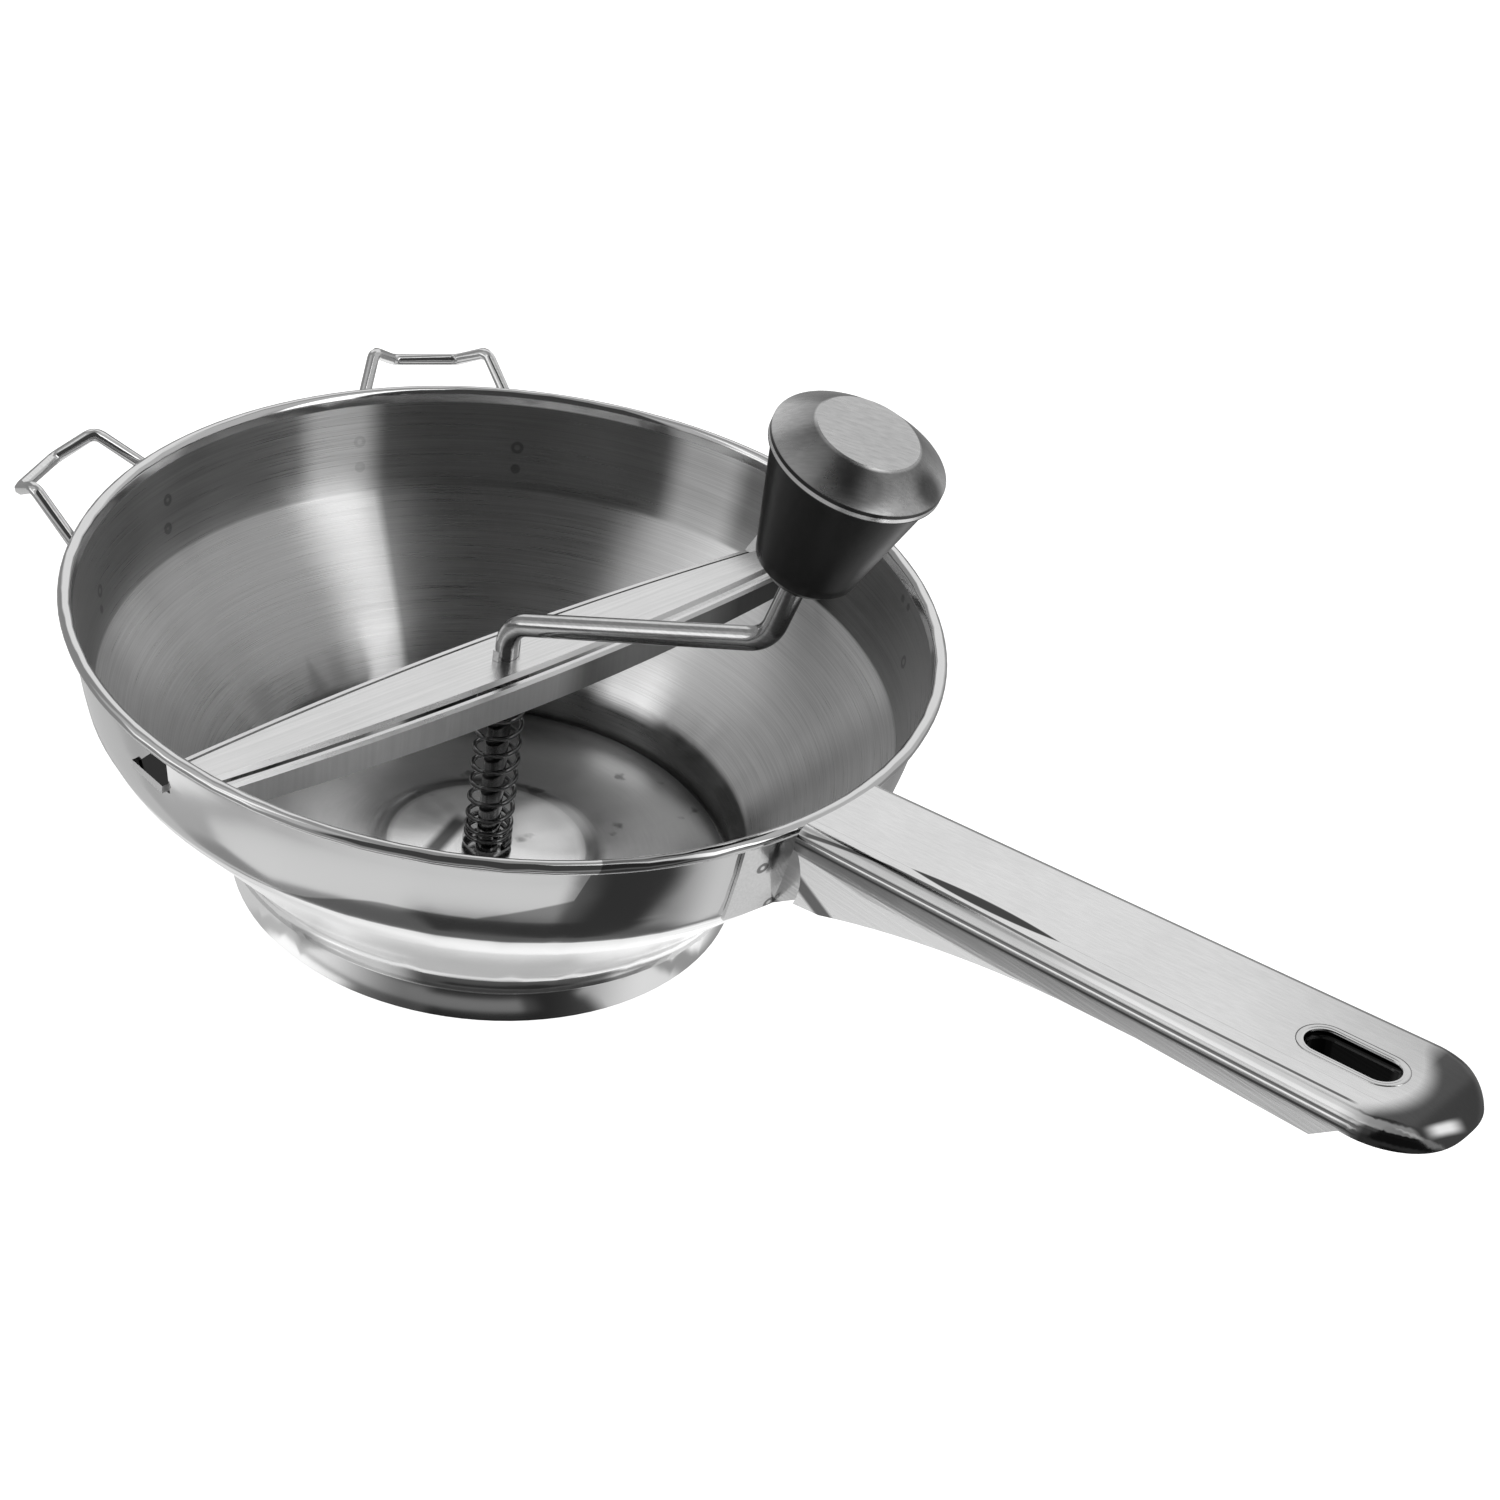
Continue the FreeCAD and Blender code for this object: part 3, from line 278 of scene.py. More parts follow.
class Recipe(Nodes):
    """A node material under construction."""

    def __init__(self, name, metallic=1.0):
        self.material = bpy.data.materials.new(name)
        self.material.use_nodes = True
        super().__init__(self.material.node_tree)
        self.shader = self.tree.nodes["Principled BSDF"]
        self.set(Metallic=metallic)

    def set(self, **values):
        for key, value in values.items():
            self.shader.inputs[key.replace("_", " ")].default_value = value

    def feed(self, **values):
        for key, value in values.items():
            self.link(value, self.shader.inputs[key.replace("_", " ")])

    def position(self):
        return self.tree.nodes.new("ShaderNodeTexCoord").outputs["Object"]

    def normal(self):
        return self.tree.nodes.new("ShaderNodeNewGeometry").outputs["Normal"]

    def vector_math(self, operation, where, other):
        made = self.tree.nodes.new("ShaderNodeVectorMath")
        made.operation = operation
        self.link(where, made.inputs[0])
        made.inputs[1].default_value = other
        return made.outputs["Value"]

    def distance(self, place):
        """How far a point of the surface is from one place, in metres."""
        return self.vector_math("DISTANCE", self.position(), place)

    def height_over(self, middle, axis):
        """How far a point of the surface is beyond one place along an axis, in metres."""
        return self.minus(self.vector_math("DOT_PRODUCT", self.position(), axis), middle.dot(axis))

    def around(self):
        """Distance from the crank's axis, height, and the sine and cosine of the direction."""
        x, y, z = self.split(self.position())
        radius = self.reach(x, y)
        return radius, z, self.math("DIVIDE", y, radius), self.math("DIVIDE", x, radius)

    def clouds(self, scale=38.0, detail=5.0, roughness=0.6):
        """Soft patches."""
        return self.noise(self.position(), scale, detail, roughness)

    def ring_marks(self, across, along):
        """Noise drawn out round the crank's axis."""
        radius, z, sine, cosine = self.around()
        outward = self.times(self.add(radius, self.times(z, HEIGHT_SHARE)), across)
        where = self.vector(self.times(cosine, along), self.times(sine, along), outward)
        return self.noise(where, 1.0, 2.0)

    def straight_marks(self, direction, across=1800.0, along=22.0):
        """Noise drawn out along one direction seen from above, in degrees."""
        x, y, z = self.split(self.turn(self.position(), direction))
        where = self.vector(self.times(x, along), self.times(y, across), self.times(z, across))
        return self.noise(where, 1.0, 2.0)

    def grain(self, amount):
        """Reflections drawn out across the ring marks, along the slope of a turned surface."""
        self.set(Anisotropic=amount)
        tangent = self.tree.nodes.new("ShaderNodeTangent")
        tangent.direction_type = "RADIAL"
        tangent.axis = "Z"
        self.feed(Tangent=tangent.outputs[0])
        self.set(Anisotropic_Rotation=QUARTER_TURN)

    def glow(self, light, strength=1.0):
        """Light that the surface gives out, for a reflection that the photograph shows."""
        self.feed(Emission_Color=self.grey(light))
        self.set(Emission_Strength=strength)

    def finish(self, tone, roughness, marks, depth=0.000008):
        """Colour, roughness and marks of one depth in metres."""
        self.feed(Base_Color=self.grey(tone), Roughness=roughness)
        made = self.tree.nodes.new("ShaderNodeBump")
        made.inputs["Strength"].default_value = 1.0
        made.inputs["Distance"].default_value = depth
        self.link(marks, made.inputs["Height"])
        self.feed(Normal=made.outputs["Normal"])
        return self.material


# Steel of the bowl, with heights in metres and directions in degrees round the crank's axis

# How far the steel faces away from the axis where inside ends, and how softly it ends
INSIDE_EDGE = (0.0, 0.02)
# Heights of an edge, and how soft it is: the top of the ring with painted shade, the low edge of the
# painted light at the right foot, the crease and the bead's low edge
RING_TOP = (0.0087, 0.0002)
RIGHT_FOOT_EDGE = (0.0113, 0.001)
CREASE = (0.0542, 0.0004)
BEAD_LOW = (0.0784, 0.0002)
# Heights of a part's two ends, and how soft they are: the step with painted shade, the step with painted
# light, and the cone whose front gets painted light
STEP = (0.009, 0.0156, 0.0003)
LIT_STEP = (0.0088, 0.0156, 0.0004)
CONE = (0.0164, 0.0537, 0.0004)
# Heights from which and up to which something fades: the painted shade at the inside's foot, and the
# painted light on the right wall, at its foot and at the streak's foot
FOOT_FADE = (0.0112, 0.0152)
RIGHT_WALL_FADE = (0.0125, 0.0155)
RIGHT_FOOT_FADE = (0.016, 0.028)
STREAK_FOOT_FADE = (0.016, 0.03)
# Directions of a stretch's middle, its half width and how soft its ends are
# The front of the outer cone, which gets painted light
LIT_FRONT = (-47.0, 55.0, 40.0)
# Painted shade: the lens on the band, and the step and ring
LENS = (-50.0, 26.0, 8.0)
STEP_SHADE = (-38.0, 18.0, 6.0)
RING_SHADE = (-46.0, 14.0, 26.0)
# Painted light: on the step, on the right wall, at its foot and on the band over it, and at the streak's
# foot and on the band over it
STEP_GLOW = (-71.5, 4.5, 9.0)
RIGHT_WALL = (82.0, 24.0, 14.0)
RIGHT_FOOT = (102.0, 3.0, 9.0)
RIGHT_BAND = (104.5, 3.0, 5.0)
STREAK_FOOT = (162.0, 2.5, 3.0)
STREAK_BAND = (163.0, 3.0, 5.0)
# The shade beside the streak: where it grows, and where it stops and how sharply
SHADE_GROWS = (126.0, 154.0)
SHADE_STOPS = (157.0, 0.8)
# The upper edge of the lens of painted shade: its least height, its rises as spreads over the direction,
# and its softness
LENS_LEAST = 0.055
LENS_RISES = ((-74.0, -58.0, 0.0, 0.0076, True), (-47.0, -35.5, 0.0, 0.007), (-35.5, -33.0, 0.0, 0.013))
LENS_EDGE = (-0.0003, 0.0006)
# The marks of the hooks' welds: a ring's radius, half width and softness, and where they are
WELD_RING = (0.0013, 0.00026, 0.000455)
BAND_RADIUS = 0.1045


def band_place(azimuth, height):
    """A place on the band, from its azimuth in degrees and its height in metres."""
    turn = math.radians(azimuth)
    return BAND_RADIUS * math.cos(turn), BAND_RADIUS * math.sin(turn), height


HOOK_WELDS = [
    band_place(azimuth, height)
    for azimuth, height in (
        (-143, 0.0628),
        (-142, 0.0583),
        (-164.9, 0.0689),
        (-164.1, 0.0611),
        (159.7, 0.068),
        (159.7, 0.0604),
        (135, 0.0659),
        (135, 0.0594),
        (59.7, 0.0755),
        (57.4, 0.0755),
        (52.6, 0.064),
    )
]


def bowl_inside(recipe, z, direction, upper, marks, clouds):
    """Satin tone, with painted shade on the foot, on the band and beside the streak, and the weld marks."""
    tone = recipe.add(marks, recipe.vary(clouds, 0.62, 0.02))
    # Painted shade: darker at the foot of the wall and on the band over the crease
    foot = recipe.spread(z, *FOOT_FADE, 1.0, 0.0, smooth=True)
    tone = recipe.dim(tone, foot, 0.4)
    tone = recipe.times(tone, recipe.spread(upper, 0.0, 1.0, 0.92, 0.52))
    welds = 0.0
    for place in HOOK_WELDS:
        welds = recipe.add(welds, recipe.near(recipe.distance(place), *WELD_RING))
    tone = recipe.dim(tone, welds, 0.62)
    shade = recipe.spread(direction, *SHADE_GROWS, 0.0, 1.0, smooth=True)
    shade = recipe.times(shade, recipe.under(direction, *SHADE_STOPS), recipe.rest(upper))
    return recipe.dim(tone, shade, 0.48)


def bowl_wall_light(recipe, z, direction, upper, marks):
    """Light on the right wall, at its low end, at the streak's foot and on the band over both."""
    right = recipe.times(recipe.near(direction, *RIGHT_WALL), recipe.spread(z, *RIGHT_WALL_FADE, 0.0, 0.13))
    low = recipe.times(recipe.near(direction, *RIGHT_FOOT), recipe.over(z, *RIGHT_FOOT_EDGE))
    low = recipe.times(low, recipe.spread(z, *RIGHT_FOOT_FADE, 0.34, 0.0))
    streak_foot = recipe.near(direction, *STREAK_FOOT)
    streak_foot = recipe.times(streak_foot, recipe.spread(z, *STREAK_FOOT_FADE, 0.3, 0.0))
    band = recipe.most(recipe.near(direction, *STREAK_BAND), recipe.near(direction, *RIGHT_BAND))
    light = recipe.blend(upper, recipe.add(right, low, streak_foot), recipe.times(band, 0.2))
    return recipe.times(light, recipe.add(1.0, recipe.times(marks, 2.0)))


def bowl_outside(recipe, z, direction, upper, cone, clouds):
    """Polished tone, with painted shade: darker over the crease, a lens on the band, and on the step and
    ring.
    """
    # Painted shade over the crease, and a dark base colour on the cone's front under its painted light
    tone = recipe.blend(cone, recipe.spread(upper, 0.0, 1.0, 0.92, 0.7), 0.27)
    # Painted shade: the lens on the band, the step and the ring
    lens_top = recipe.add(LENS_LEAST, *recipe.ramps(direction, LENS_RISES))
    lens = recipe.spread(recipe.minus(lens_top, z), *LENS_EDGE, 0.0, 1.0, smooth=True)
    lens = recipe.times(lens, upper, recipe.near(direction, *LENS))
    step = recipe.times(recipe.between(z, *STEP), recipe.near(direction, *STEP_SHADE))
    ring = recipe.times(recipe.under(z, *RING_TOP), recipe.near(direction, *RING_SHADE))
    shade = recipe.add(recipe.times(lens, 0.6), recipe.times(recipe.most(step, ring), 0.8))
    return recipe.add(recipe.times(tone, recipe.rest(shade)), recipe.vary(clouds, 0.0, 0.03))


def bowl_steel():
    """Satin and ring brushed inside, polished outside and on the bead, with painted light and shade on
    both.
    """
    recipe = Recipe("bowl_steel")
    recipe.grain(0.9)
    _, z, sine, cosine = recipe.around()
    nx, ny, _ = recipe.split(recipe.normal())
    outward = recipe.add(recipe.times(nx, cosine), recipe.times(ny, sine))
    inside = recipe.times(recipe.under(outward, *INSIDE_EDGE), recipe.under(z, *BEAD_LOW))
    outside = recipe.rest(inside)
    upper = recipe.over(z, *CREASE)
    direction = recipe.math("DEGREES", recipe.math("ARCTAN2", sine, cosine))
    # The front of the outer cone, which gets a dark base colour and painted light
    cone = recipe.times(recipe.between(z, *CONE), recipe.near(direction, *LIT_FRONT))
    fine = recipe.ring_marks(3600.0, 3.0)
    coarse = recipe.ring_marks(1100.0, 1.2)
    marks = recipe.add(recipe.vary(fine, 0.0, 0.07), recipe.vary(coarse, 0.0, 0.03))
    clouds = recipe.clouds(14.0, roughness=0.55)
    satin = bowl_inside(recipe, z, direction, upper, marks, clouds)
    polished = bowl_outside(recipe, z, direction, upper, cone, clouds)
    # Painted light, given out by the surface: on the inside's right wall, on the outer cone's front and on
    # the step
    wall_light = recipe.times(bowl_wall_light(recipe, z, direction, upper, marks), inside)
    cone_light = recipe.times(cone, outside, recipe.vary(clouds, 0.38, 0.02))
    step_light = recipe.times(recipe.between(z, *LIT_STEP), recipe.near(direction, *STEP_GLOW))
    step_light = recipe.times(step_light, outside, 0.24)
    recipe.glow(recipe.add(cone_light, step_light, wall_light))
    satin_roughness = recipe.add(recipe.vary(fine, 0.0, 0.05), recipe.vary(clouds, 0.315, 0.025))
    roughness = recipe.blend(inside, recipe.vary(clouds, 0.09, 0.03), satin_roughness)
    relief = recipe.times(fine, recipe.blend(inside, 0.03, 1.0))
    return recipe.finish(recipe.blend(inside, polished, satin), roughness, relief)


# Steel and plastic of the other nodes, with lengths in metres and directions in degrees

# Edges on the blade, as distances from the crank's axis: of the boss with painted light, of the groove and
# the plate's edge with painted shade
BOSS_EDGE = (0.0264, 0.0002)
GROOVE_SHADE = (0.0285, 0.0008, 0.0034)
PLATE_EDGE_SHADE = (0.0605, 0.0642)
# From and up to which value of their noise the smudges show
SMUDGE_FADE = (0.66, 0.72)
# The painted dark reflection on the boss, along its direction and aside, and the painted light at the
# boss's back
BOSS_DARK_REFLECTION = -70.0
BOSS_DARK_REFLECTION_ALONG = (-0.004, 0.009, 0.005)
BOSS_DARK_REFLECTION_ASIDE = (-0.0107, 0.0009, 0.0026)
BOSS_LIGHT = (0.004, 0.0195, 0.0062)
BOSS_LIGHT_REACH = (0.006, 0.008)
# The bar: its direction, how far its top faces up, and painted shades on the flanges and tongues by the
# distance along it
BAR_DIRECTION = 86.0
BAR_TOP = (0.65, 0.1)
BAR_SHADE_GROWS = (0.006, 0.02)
BAR_END_SHADE_GROWS = (0.062, 0.074)
TONGUE_SHADE = (0.0984, 0.108, 0.0003)
# The spot welds of the bracket: their places on its plane, and a ring's radius, half width and softness
BRACKET_WELDS = ((0.0, -0.0202, 0.0708), (0.0, -0.0134, 0.0566))
BRACKET_WELD_RING = (0.0011, 0.0003, 0.0004)
# The knob's axis and a place on it, and heights along it over that place: the skirt, its painted dark line,
# the cone, and the painted shade up the cone
KNOB_PLACE = Vector((0.08824, 0.01162, 0.1603))
KNOB_AXIS = Vector((0.254097, 0.033452, 0.9666))
CAP_SKIRT = (0.0006, 0.0001)
CAP_SHADE_LINE = (-0.0009, 0.0004, 0.0002)
CAP_CONE = (0.00595, 0.00015)
CAP_CONE_SHADE = (0.001, 0.0058)
# Two painted shades on the cap's cone: their places and how far they reach
CAP_LEFT_SHADE = (0.0985, 0.0003, 0.1600)
CAP_LEFT_REACH = (0.0035, 0.0055)
CAP_RIGHT_SHADE = (0.1050, 0.0160, 0.1578)
CAP_RIGHT_REACH = (0.002, 0.005)
# The direction of the cap's marks, and how fast they change across and along it
CAP_MARKS = (40.0, 1500.0, 60.0)
# The rod: its direction, how far its side with painted shade faces down, and the heights where the spring
# ends, under which the rod gets painted shade
ROD_DIRECTION = 7.5
ROD_UNDERSIDE_SHADE = (-0.45, 0.15)
ROD_SHADE_IN_SPRING = (0.0605, 0.0625)


def disc_steel():
    """Marks round the crank's axis."""
    recipe = Recipe("disc_steel")
    recipe.grain(0.4)
    fine = recipe.ring_marks(2200.0, 3.0)
    clouds = recipe.clouds(45.0, 6.0, 0.62)
    tone = recipe.add(recipe.vary(fine, 0.0, 0.03), recipe.vary(clouds, 0.5, 0.06))
    return recipe.finish(tone, recipe.vary(clouds, 0.273, 0.065), fine, 0.000004)


def drawn_steel(name, colour, roughness, direction):
    """Marks along one direction."""
    recipe = Recipe(name)
    fine = recipe.straight_marks(direction)
    clouds = recipe.clouds()
    tone = recipe.add(recipe.vary(fine, 0.0, 0.04), recipe.vary(clouds, colour, 0.04))
    return recipe.finish(tone, recipe.vary(clouds, roughness * 1.05, roughness * 0.2), fine)


def blade_steel():
    """A boss with painted light, a painted dark reflection and painted light at its back, painted shade in
    the groove round it and at the plate's edge, and a grey plate with smudges.
    """
    recipe = Recipe("blade_steel")
    recipe.grain(0.3)
    radius = recipe.around()[0]
    fine = recipe.ring_marks(2600.0, 4.0)
    clouds = recipe.clouds(45.0, 6.0, 0.62)
    smudges = recipe.clouds(95.0, 3.0, 0.5)
    boss = recipe.under(radius, *BOSS_EDGE)
    # Painted light: the boss lighter than the plate
    painted_light = recipe.times(boss, 0.34)
    tone = recipe.add(recipe.vary(fine, 0.0, 0.02), recipe.vary(clouds, 0.58, 0.04), painted_light)
    # Painted shade in the groove round the boss and at the plate's edge
    tone = recipe.dim(tone, recipe.near(radius, *GROOVE_SHADE), 0.45)
    tone = recipe.times(tone, recipe.spread(radius, *PLATE_EDGE_SHADE, 1.0, 0.5, smooth=True))
    tone = recipe.times(tone, recipe.spread(smudges, *SMUDGE_FADE, 1.0, 0.5))
    # Painted dark reflection of the spring on the boss
    along, aside, _ = recipe.split(recipe.turn(recipe.position(), BOSS_DARK_REFLECTION))
    streak = recipe.times(recipe.between(along, *BOSS_DARK_REFLECTION_ALONG), recipe.near(aside, *BOSS_DARK_REFLECTION_ASIDE))
    tone = recipe.dim(tone, streak, 0.15)
    # Painted light at the boss's back
    recipe.glow(recipe.times(recipe.near(recipe.distance(BOSS_LIGHT), 0.0, *BOSS_LIGHT_REACH), 0.24))
    return recipe.finish(tone, recipe.vary(clouds, 0.2, 0.04), fine, 0.000002)


def bar_steel():
    """Marks along the top and up the flanges, with the flanges painted lighter and rougher, and painted
    shade on the flanges' far part and the tongues.
    """
    recipe = Recipe("bar_steel")
    x, _, z = recipe.split(recipe.turn(recipe.position(), BAR_DIRECTION))
    nz = recipe.split(recipe.normal())["Z"]
    top = recipe.over(nz, *BAR_TOP)
    flange = recipe.rest(top)
    along = recipe.straight_marks(BAR_DIRECTION)
    upright = recipe.noise(recipe.vector(recipe.times(x, 900.0), 0.0, recipe.times(z, 40.0)), 1.0, 2.0)
    marks = recipe.blend(top, upright, along)
    clouds = recipe.clouds()
    # The flanges painted lighter, and made rougher by the same amount
    painted_light = recipe.times(flange, 0.22)
    tone = recipe.add(recipe.vary(marks, 0.0, 0.04), recipe.vary(clouds, 0.7, 0.04), painted_light)
    # Painted shade on the flanges' far part
    far_shade = recipe.spread(x, *BAR_SHADE_GROWS, 0.0, 0.66, smooth=True)
    far_shade = recipe.add(far_shade, recipe.spread(x, *BAR_END_SHADE_GROWS, 0.0, 0.2))
    tone = recipe.times(tone, recipe.rest(recipe.times(far_shade, flange)))
    # Painted shade on the tongues' tops
    tongue = recipe.times(recipe.between(recipe.size(x), *TONGUE_SHADE), top)
    tone = recipe.dim(tone, tongue, 0.03)
    return recipe.finish(tone, recipe.add(recipe.vary(clouds, 0.24, 0.04), painted_light), marks)


def bracket_steel():
    """Satin plate with the rings of its two spot welds."""
    recipe = Recipe("bracket_steel")
    fine = recipe.straight_marks(0.0)
    clouds = recipe.clouds()
    _, y, z = recipe.split(recipe.position())
    flat = recipe.vector(0.0, y, z)
    tone = recipe.add(recipe.vary(fine, 0.0, 0.04), recipe.vary(clouds, 0.72, 0.04))
    for place in BRACKET_WELDS:
        away = recipe.vector_math("DISTANCE", flat, place)
        tone = recipe.dim(tone, recipe.near(away, *BRACKET_WELD_RING), 0.3)
    return recipe.finish(tone, recipe.vary(clouds, 0.15, 0.03), fine)


def cap_steel():
    """Straight marks, painted shade up the cone and in two patches on it, and a painted highlight and dark
    line round the edge.
    """
    recipe = Recipe("cap_steel")
    rise = recipe.height_over(KNOB_PLACE, KNOB_AXIS)
    clouds = recipe.clouds(60.0)
    fine = recipe.straight_marks(*CAP_MARKS)
    tone = recipe.add(recipe.vary(fine, 0.0, 0.05), recipe.vary(clouds, 0.5, 0.04))
    # Painted highlight round the skirt, with a painted dark line in it
    skirt = recipe.under(rise, *CAP_SKIRT)
    lines = recipe.blend(recipe.near(rise, *CAP_SHADE_LINE), 0.06, 0.95)
    cone = recipe.under(rise, *CAP_CONE)
    # Painted shade, darker up the cone, and in two patches on it
    tone = recipe.times(tone, recipe.blend(cone, 1.0, recipe.spread(rise, *CAP_CONE_SHADE, 1.0, 0.5)))
    left = recipe.near(recipe.distance(CAP_LEFT_SHADE), 0.0, *CAP_LEFT_REACH)
    right = recipe.near(recipe.distance(CAP_RIGHT_SHADE), 0.0, *CAP_RIGHT_REACH)
    tone = recipe.dim(tone, recipe.times(recipe.most(left, right), cone), 0.25)
    return recipe.finish(recipe.blend(skirt, tone, lines), recipe.vary(clouds, 0.27, 0.05), fine, 0.000006)


def rod_steel():
    """Drawn rod, with painted shade underneath and where the spring goes round it."""
    recipe = Recipe("rod_steel")
    z = recipe.split(recipe.position())["Z"]
    nz = recipe.split(recipe.normal())["Z"]
    fine = recipe.straight_marks(ROD_DIRECTION)
    clouds = recipe.clouds()
    tone = recipe.add(recipe.vary(fine, 0.0, 0.05), recipe.vary(clouds, 0.61, 0.05))
    # Painted shade underneath and inside the spring
    tone = recipe.times(tone, recipe.spread(nz, *ROD_UNDERSIDE_SHADE, 0.3, 1.0))
    tone = recipe.times(tone, recipe.spread(z, *ROD_SHADE_IN_SPRING, 0.55, 1.0))
    return recipe.finish(tone, recipe.vary(clouds, 0.13, 0.03), fine, 0.000006)


def black_plastic():
    """Black plastic with shallow pits."""
    recipe = Recipe("black_plastic", metallic=0.0)
    clouds = recipe.clouds(60.0, roughness=0.55)
    recipe.set(IOR=1.42)
    pits = recipe.noise(recipe.position(), 1800.0, 2.0)
    return recipe.finish(recipe.vary(clouds, 0.0035, 0.0015), recipe.vary(clouds, 0.3, 0.04), pits, 0.00001)


# Steel of the handle, which runs along X, with places in metres

# The height of the top, as a spread over X from the bowl's end to the tip
TOP_HEIGHT = (0.1105, 0.2724, 0.0824, 0.10315)
# How far the top's edge is aside of the middle, and how high the gusset is, as sums of spreads over X
TOP_EDGE = ((0.112, 0.134, 0.0142, 0.0124), (0.146, 0.188, 0.0, 0.0012))
GUSSET_EDGE = ((0.1105, 0.1722, 0.0757, 0.0816), (0.1722, 0.19, 0.0, 0.0027))
GUSSET_SOFT = 0.0002
GUSSET_END = (0.188, 0.002)
# How much painted shade the wall gets, as a spread over X
WALL_SHADE = (0.11, 0.24, 0.65, 0.25)
NEAR_SIDE = (-0.0115, 0.0005)
# The painted dark line along the top's near edge: its width and reach
LINE_WIDTH = (0.00025, 0.00025)
LINE_REACH = (0.112, 0.25, 0.004)
# The wedge of painted dark reflection: the middle and half of its length, how far it is aside, and half of
# its width
WEDGE_MIDDLE = 0.158
WEDGE_REACH = 0.0205
WEDGE_OFFSET = 0.0097
WEDGE_HALF = 0.0016
WEDGE_EDGE = (0.00005, 0.00015)
# Painted shade in the hanging slot: its length, width and the depth over which it grows, and the depth of
# the roll's painted shade
SLOT_LENGTH = (0.2312, 0.256, 0.0003)
SLOT_WIDTH = (0.0, 0.0055, 0.0002)
SLOT_DEPTH = (0.0003, 0.0008)
ROLL_DEPTH = (0.0001, 0.0006)
# The painted shade on the dome: its centre, between which distances it grows, and where along X
DOME_CENTRE = (0.244, -0.0022)
DOME_SIZE = (0.0128, 0.0188)
DOME_START = (0.25, 0.257)
# Painted shade on the tip's far part
FAR_SHADE_ALONG = (0.2, 0.262)
FAR_SHADE_ASIDE = (-0.012, 0.018)
# The tip's painted highlight, along its direction in degrees and aside, and where along X it starts
GLINT_DIRECTION = 73.3
GLINT_ALONG = (0.0724, 0.0012, 0.005)
GLINT_ASIDE = (-0.2579, 0.0003, 0.0014)
GLINT_START = (0.255, 0.258)
# Where along X the painted bright line on the near shoulder shows
BRIGHT_LINE_REACH = (0.2, 0.25, 0.03)
# How far the faces of the near side face up, for the painted light on the shoulder, the painted bright line
# and the painted dark lines, and the wall to that side
BRIGHT_SHOULDER = (0.62, 0.96, 0.02)
BRIGHT_LINE = (0.74, 0.93, 0.04)
LOW_SHADE_LINE = (0.5, 0.05, 0.05)
WALL_SHADE_LINE = (0.16, 0.04, 0.05)
WALL_FACE = (-0.97, -0.9)


def under_top(recipe, x, z):
    """How deep a point is under the handle's top."""
    return recipe.minus(recipe.spread(x, *TOP_HEIGHT), z)


def shoulder_lines(recipe, x, y, nz, near_side):
    """Painted dark lines along the near shoulder, from the edge of the top down to the wall."""
    from_edge = recipe.add(y, recipe.add(*recipe.ramps(x, TOP_EDGE)))
    top_line = recipe.times(recipe.near(from_edge, 0.0, *LINE_WIDTH), recipe.between(x, *LINE_REACH))
    low_line = recipe.times(near_side, recipe.near(nz, *LOW_SHADE_LINE))
    wall_line = recipe.times(near_side, recipe.near(nz, *WALL_SHADE_LINE))
    return recipe.most(top_line, low_line, wall_line)


def shoulder_wedge(recipe, x, y):
    """The slim painted dark reflection on the top, beside the near shoulder."""
    along = recipe.math("DIVIDE", recipe.minus(x, WEDGE_MIDDLE), WEDGE_REACH)
    taper = recipe.math("SUBTRACT", 1.0, recipe.times(along, along), clamp=True)
    aside = recipe.size(recipe.add(y, WEDGE_OFFSET))
    return recipe.over(recipe.minus(recipe.times(taper, WEDGE_HALF), aside), *WEDGE_EDGE)


def above_gusset(recipe, x, z):
    """One on the wall, and zero on the gusset that widens towards the bowl."""
    edge = recipe.add(*recipe.ramps(x, GUSSET_EDGE))
    return recipe.most(recipe.over(recipe.minus(z, edge), 0.0, GUSSET_SOFT), recipe.over(x, *GUSSET_END))


def tip_dome(recipe, x, y):
    """Painted shade on the dome round the end of the slot."""
    away = recipe.reach(recipe.minus(x, DOME_CENTRE[0]), recipe.minus(y, DOME_CENTRE[1]))
    dome = recipe.spread(away, *DOME_SIZE, 0.0, 0.97, smooth=True)
    return recipe.times(dome, recipe.spread(x, *DOME_START, 0.0, 1.0))


def handle_light(recipe, x, nz, near_side):
    """The tip's painted highlight, and a painted bright line along the far part of the near shoulder."""
    along, aside, _ = recipe.split(recipe.turn(recipe.position(), GLINT_DIRECTION))
    glint = recipe.times(recipe.near(along, *GLINT_ALONG), recipe.near(aside, *GLINT_ASIDE))
    glint = recipe.times(glint, recipe.spread(x, *GLINT_START, 0.0, 1.0))
    line = recipe.times(near_side, recipe.between(nz, *BRIGHT_LINE), recipe.between(x, *BRIGHT_LINE_REACH))
    return recipe.add(glint, recipe.times(line, 0.35))


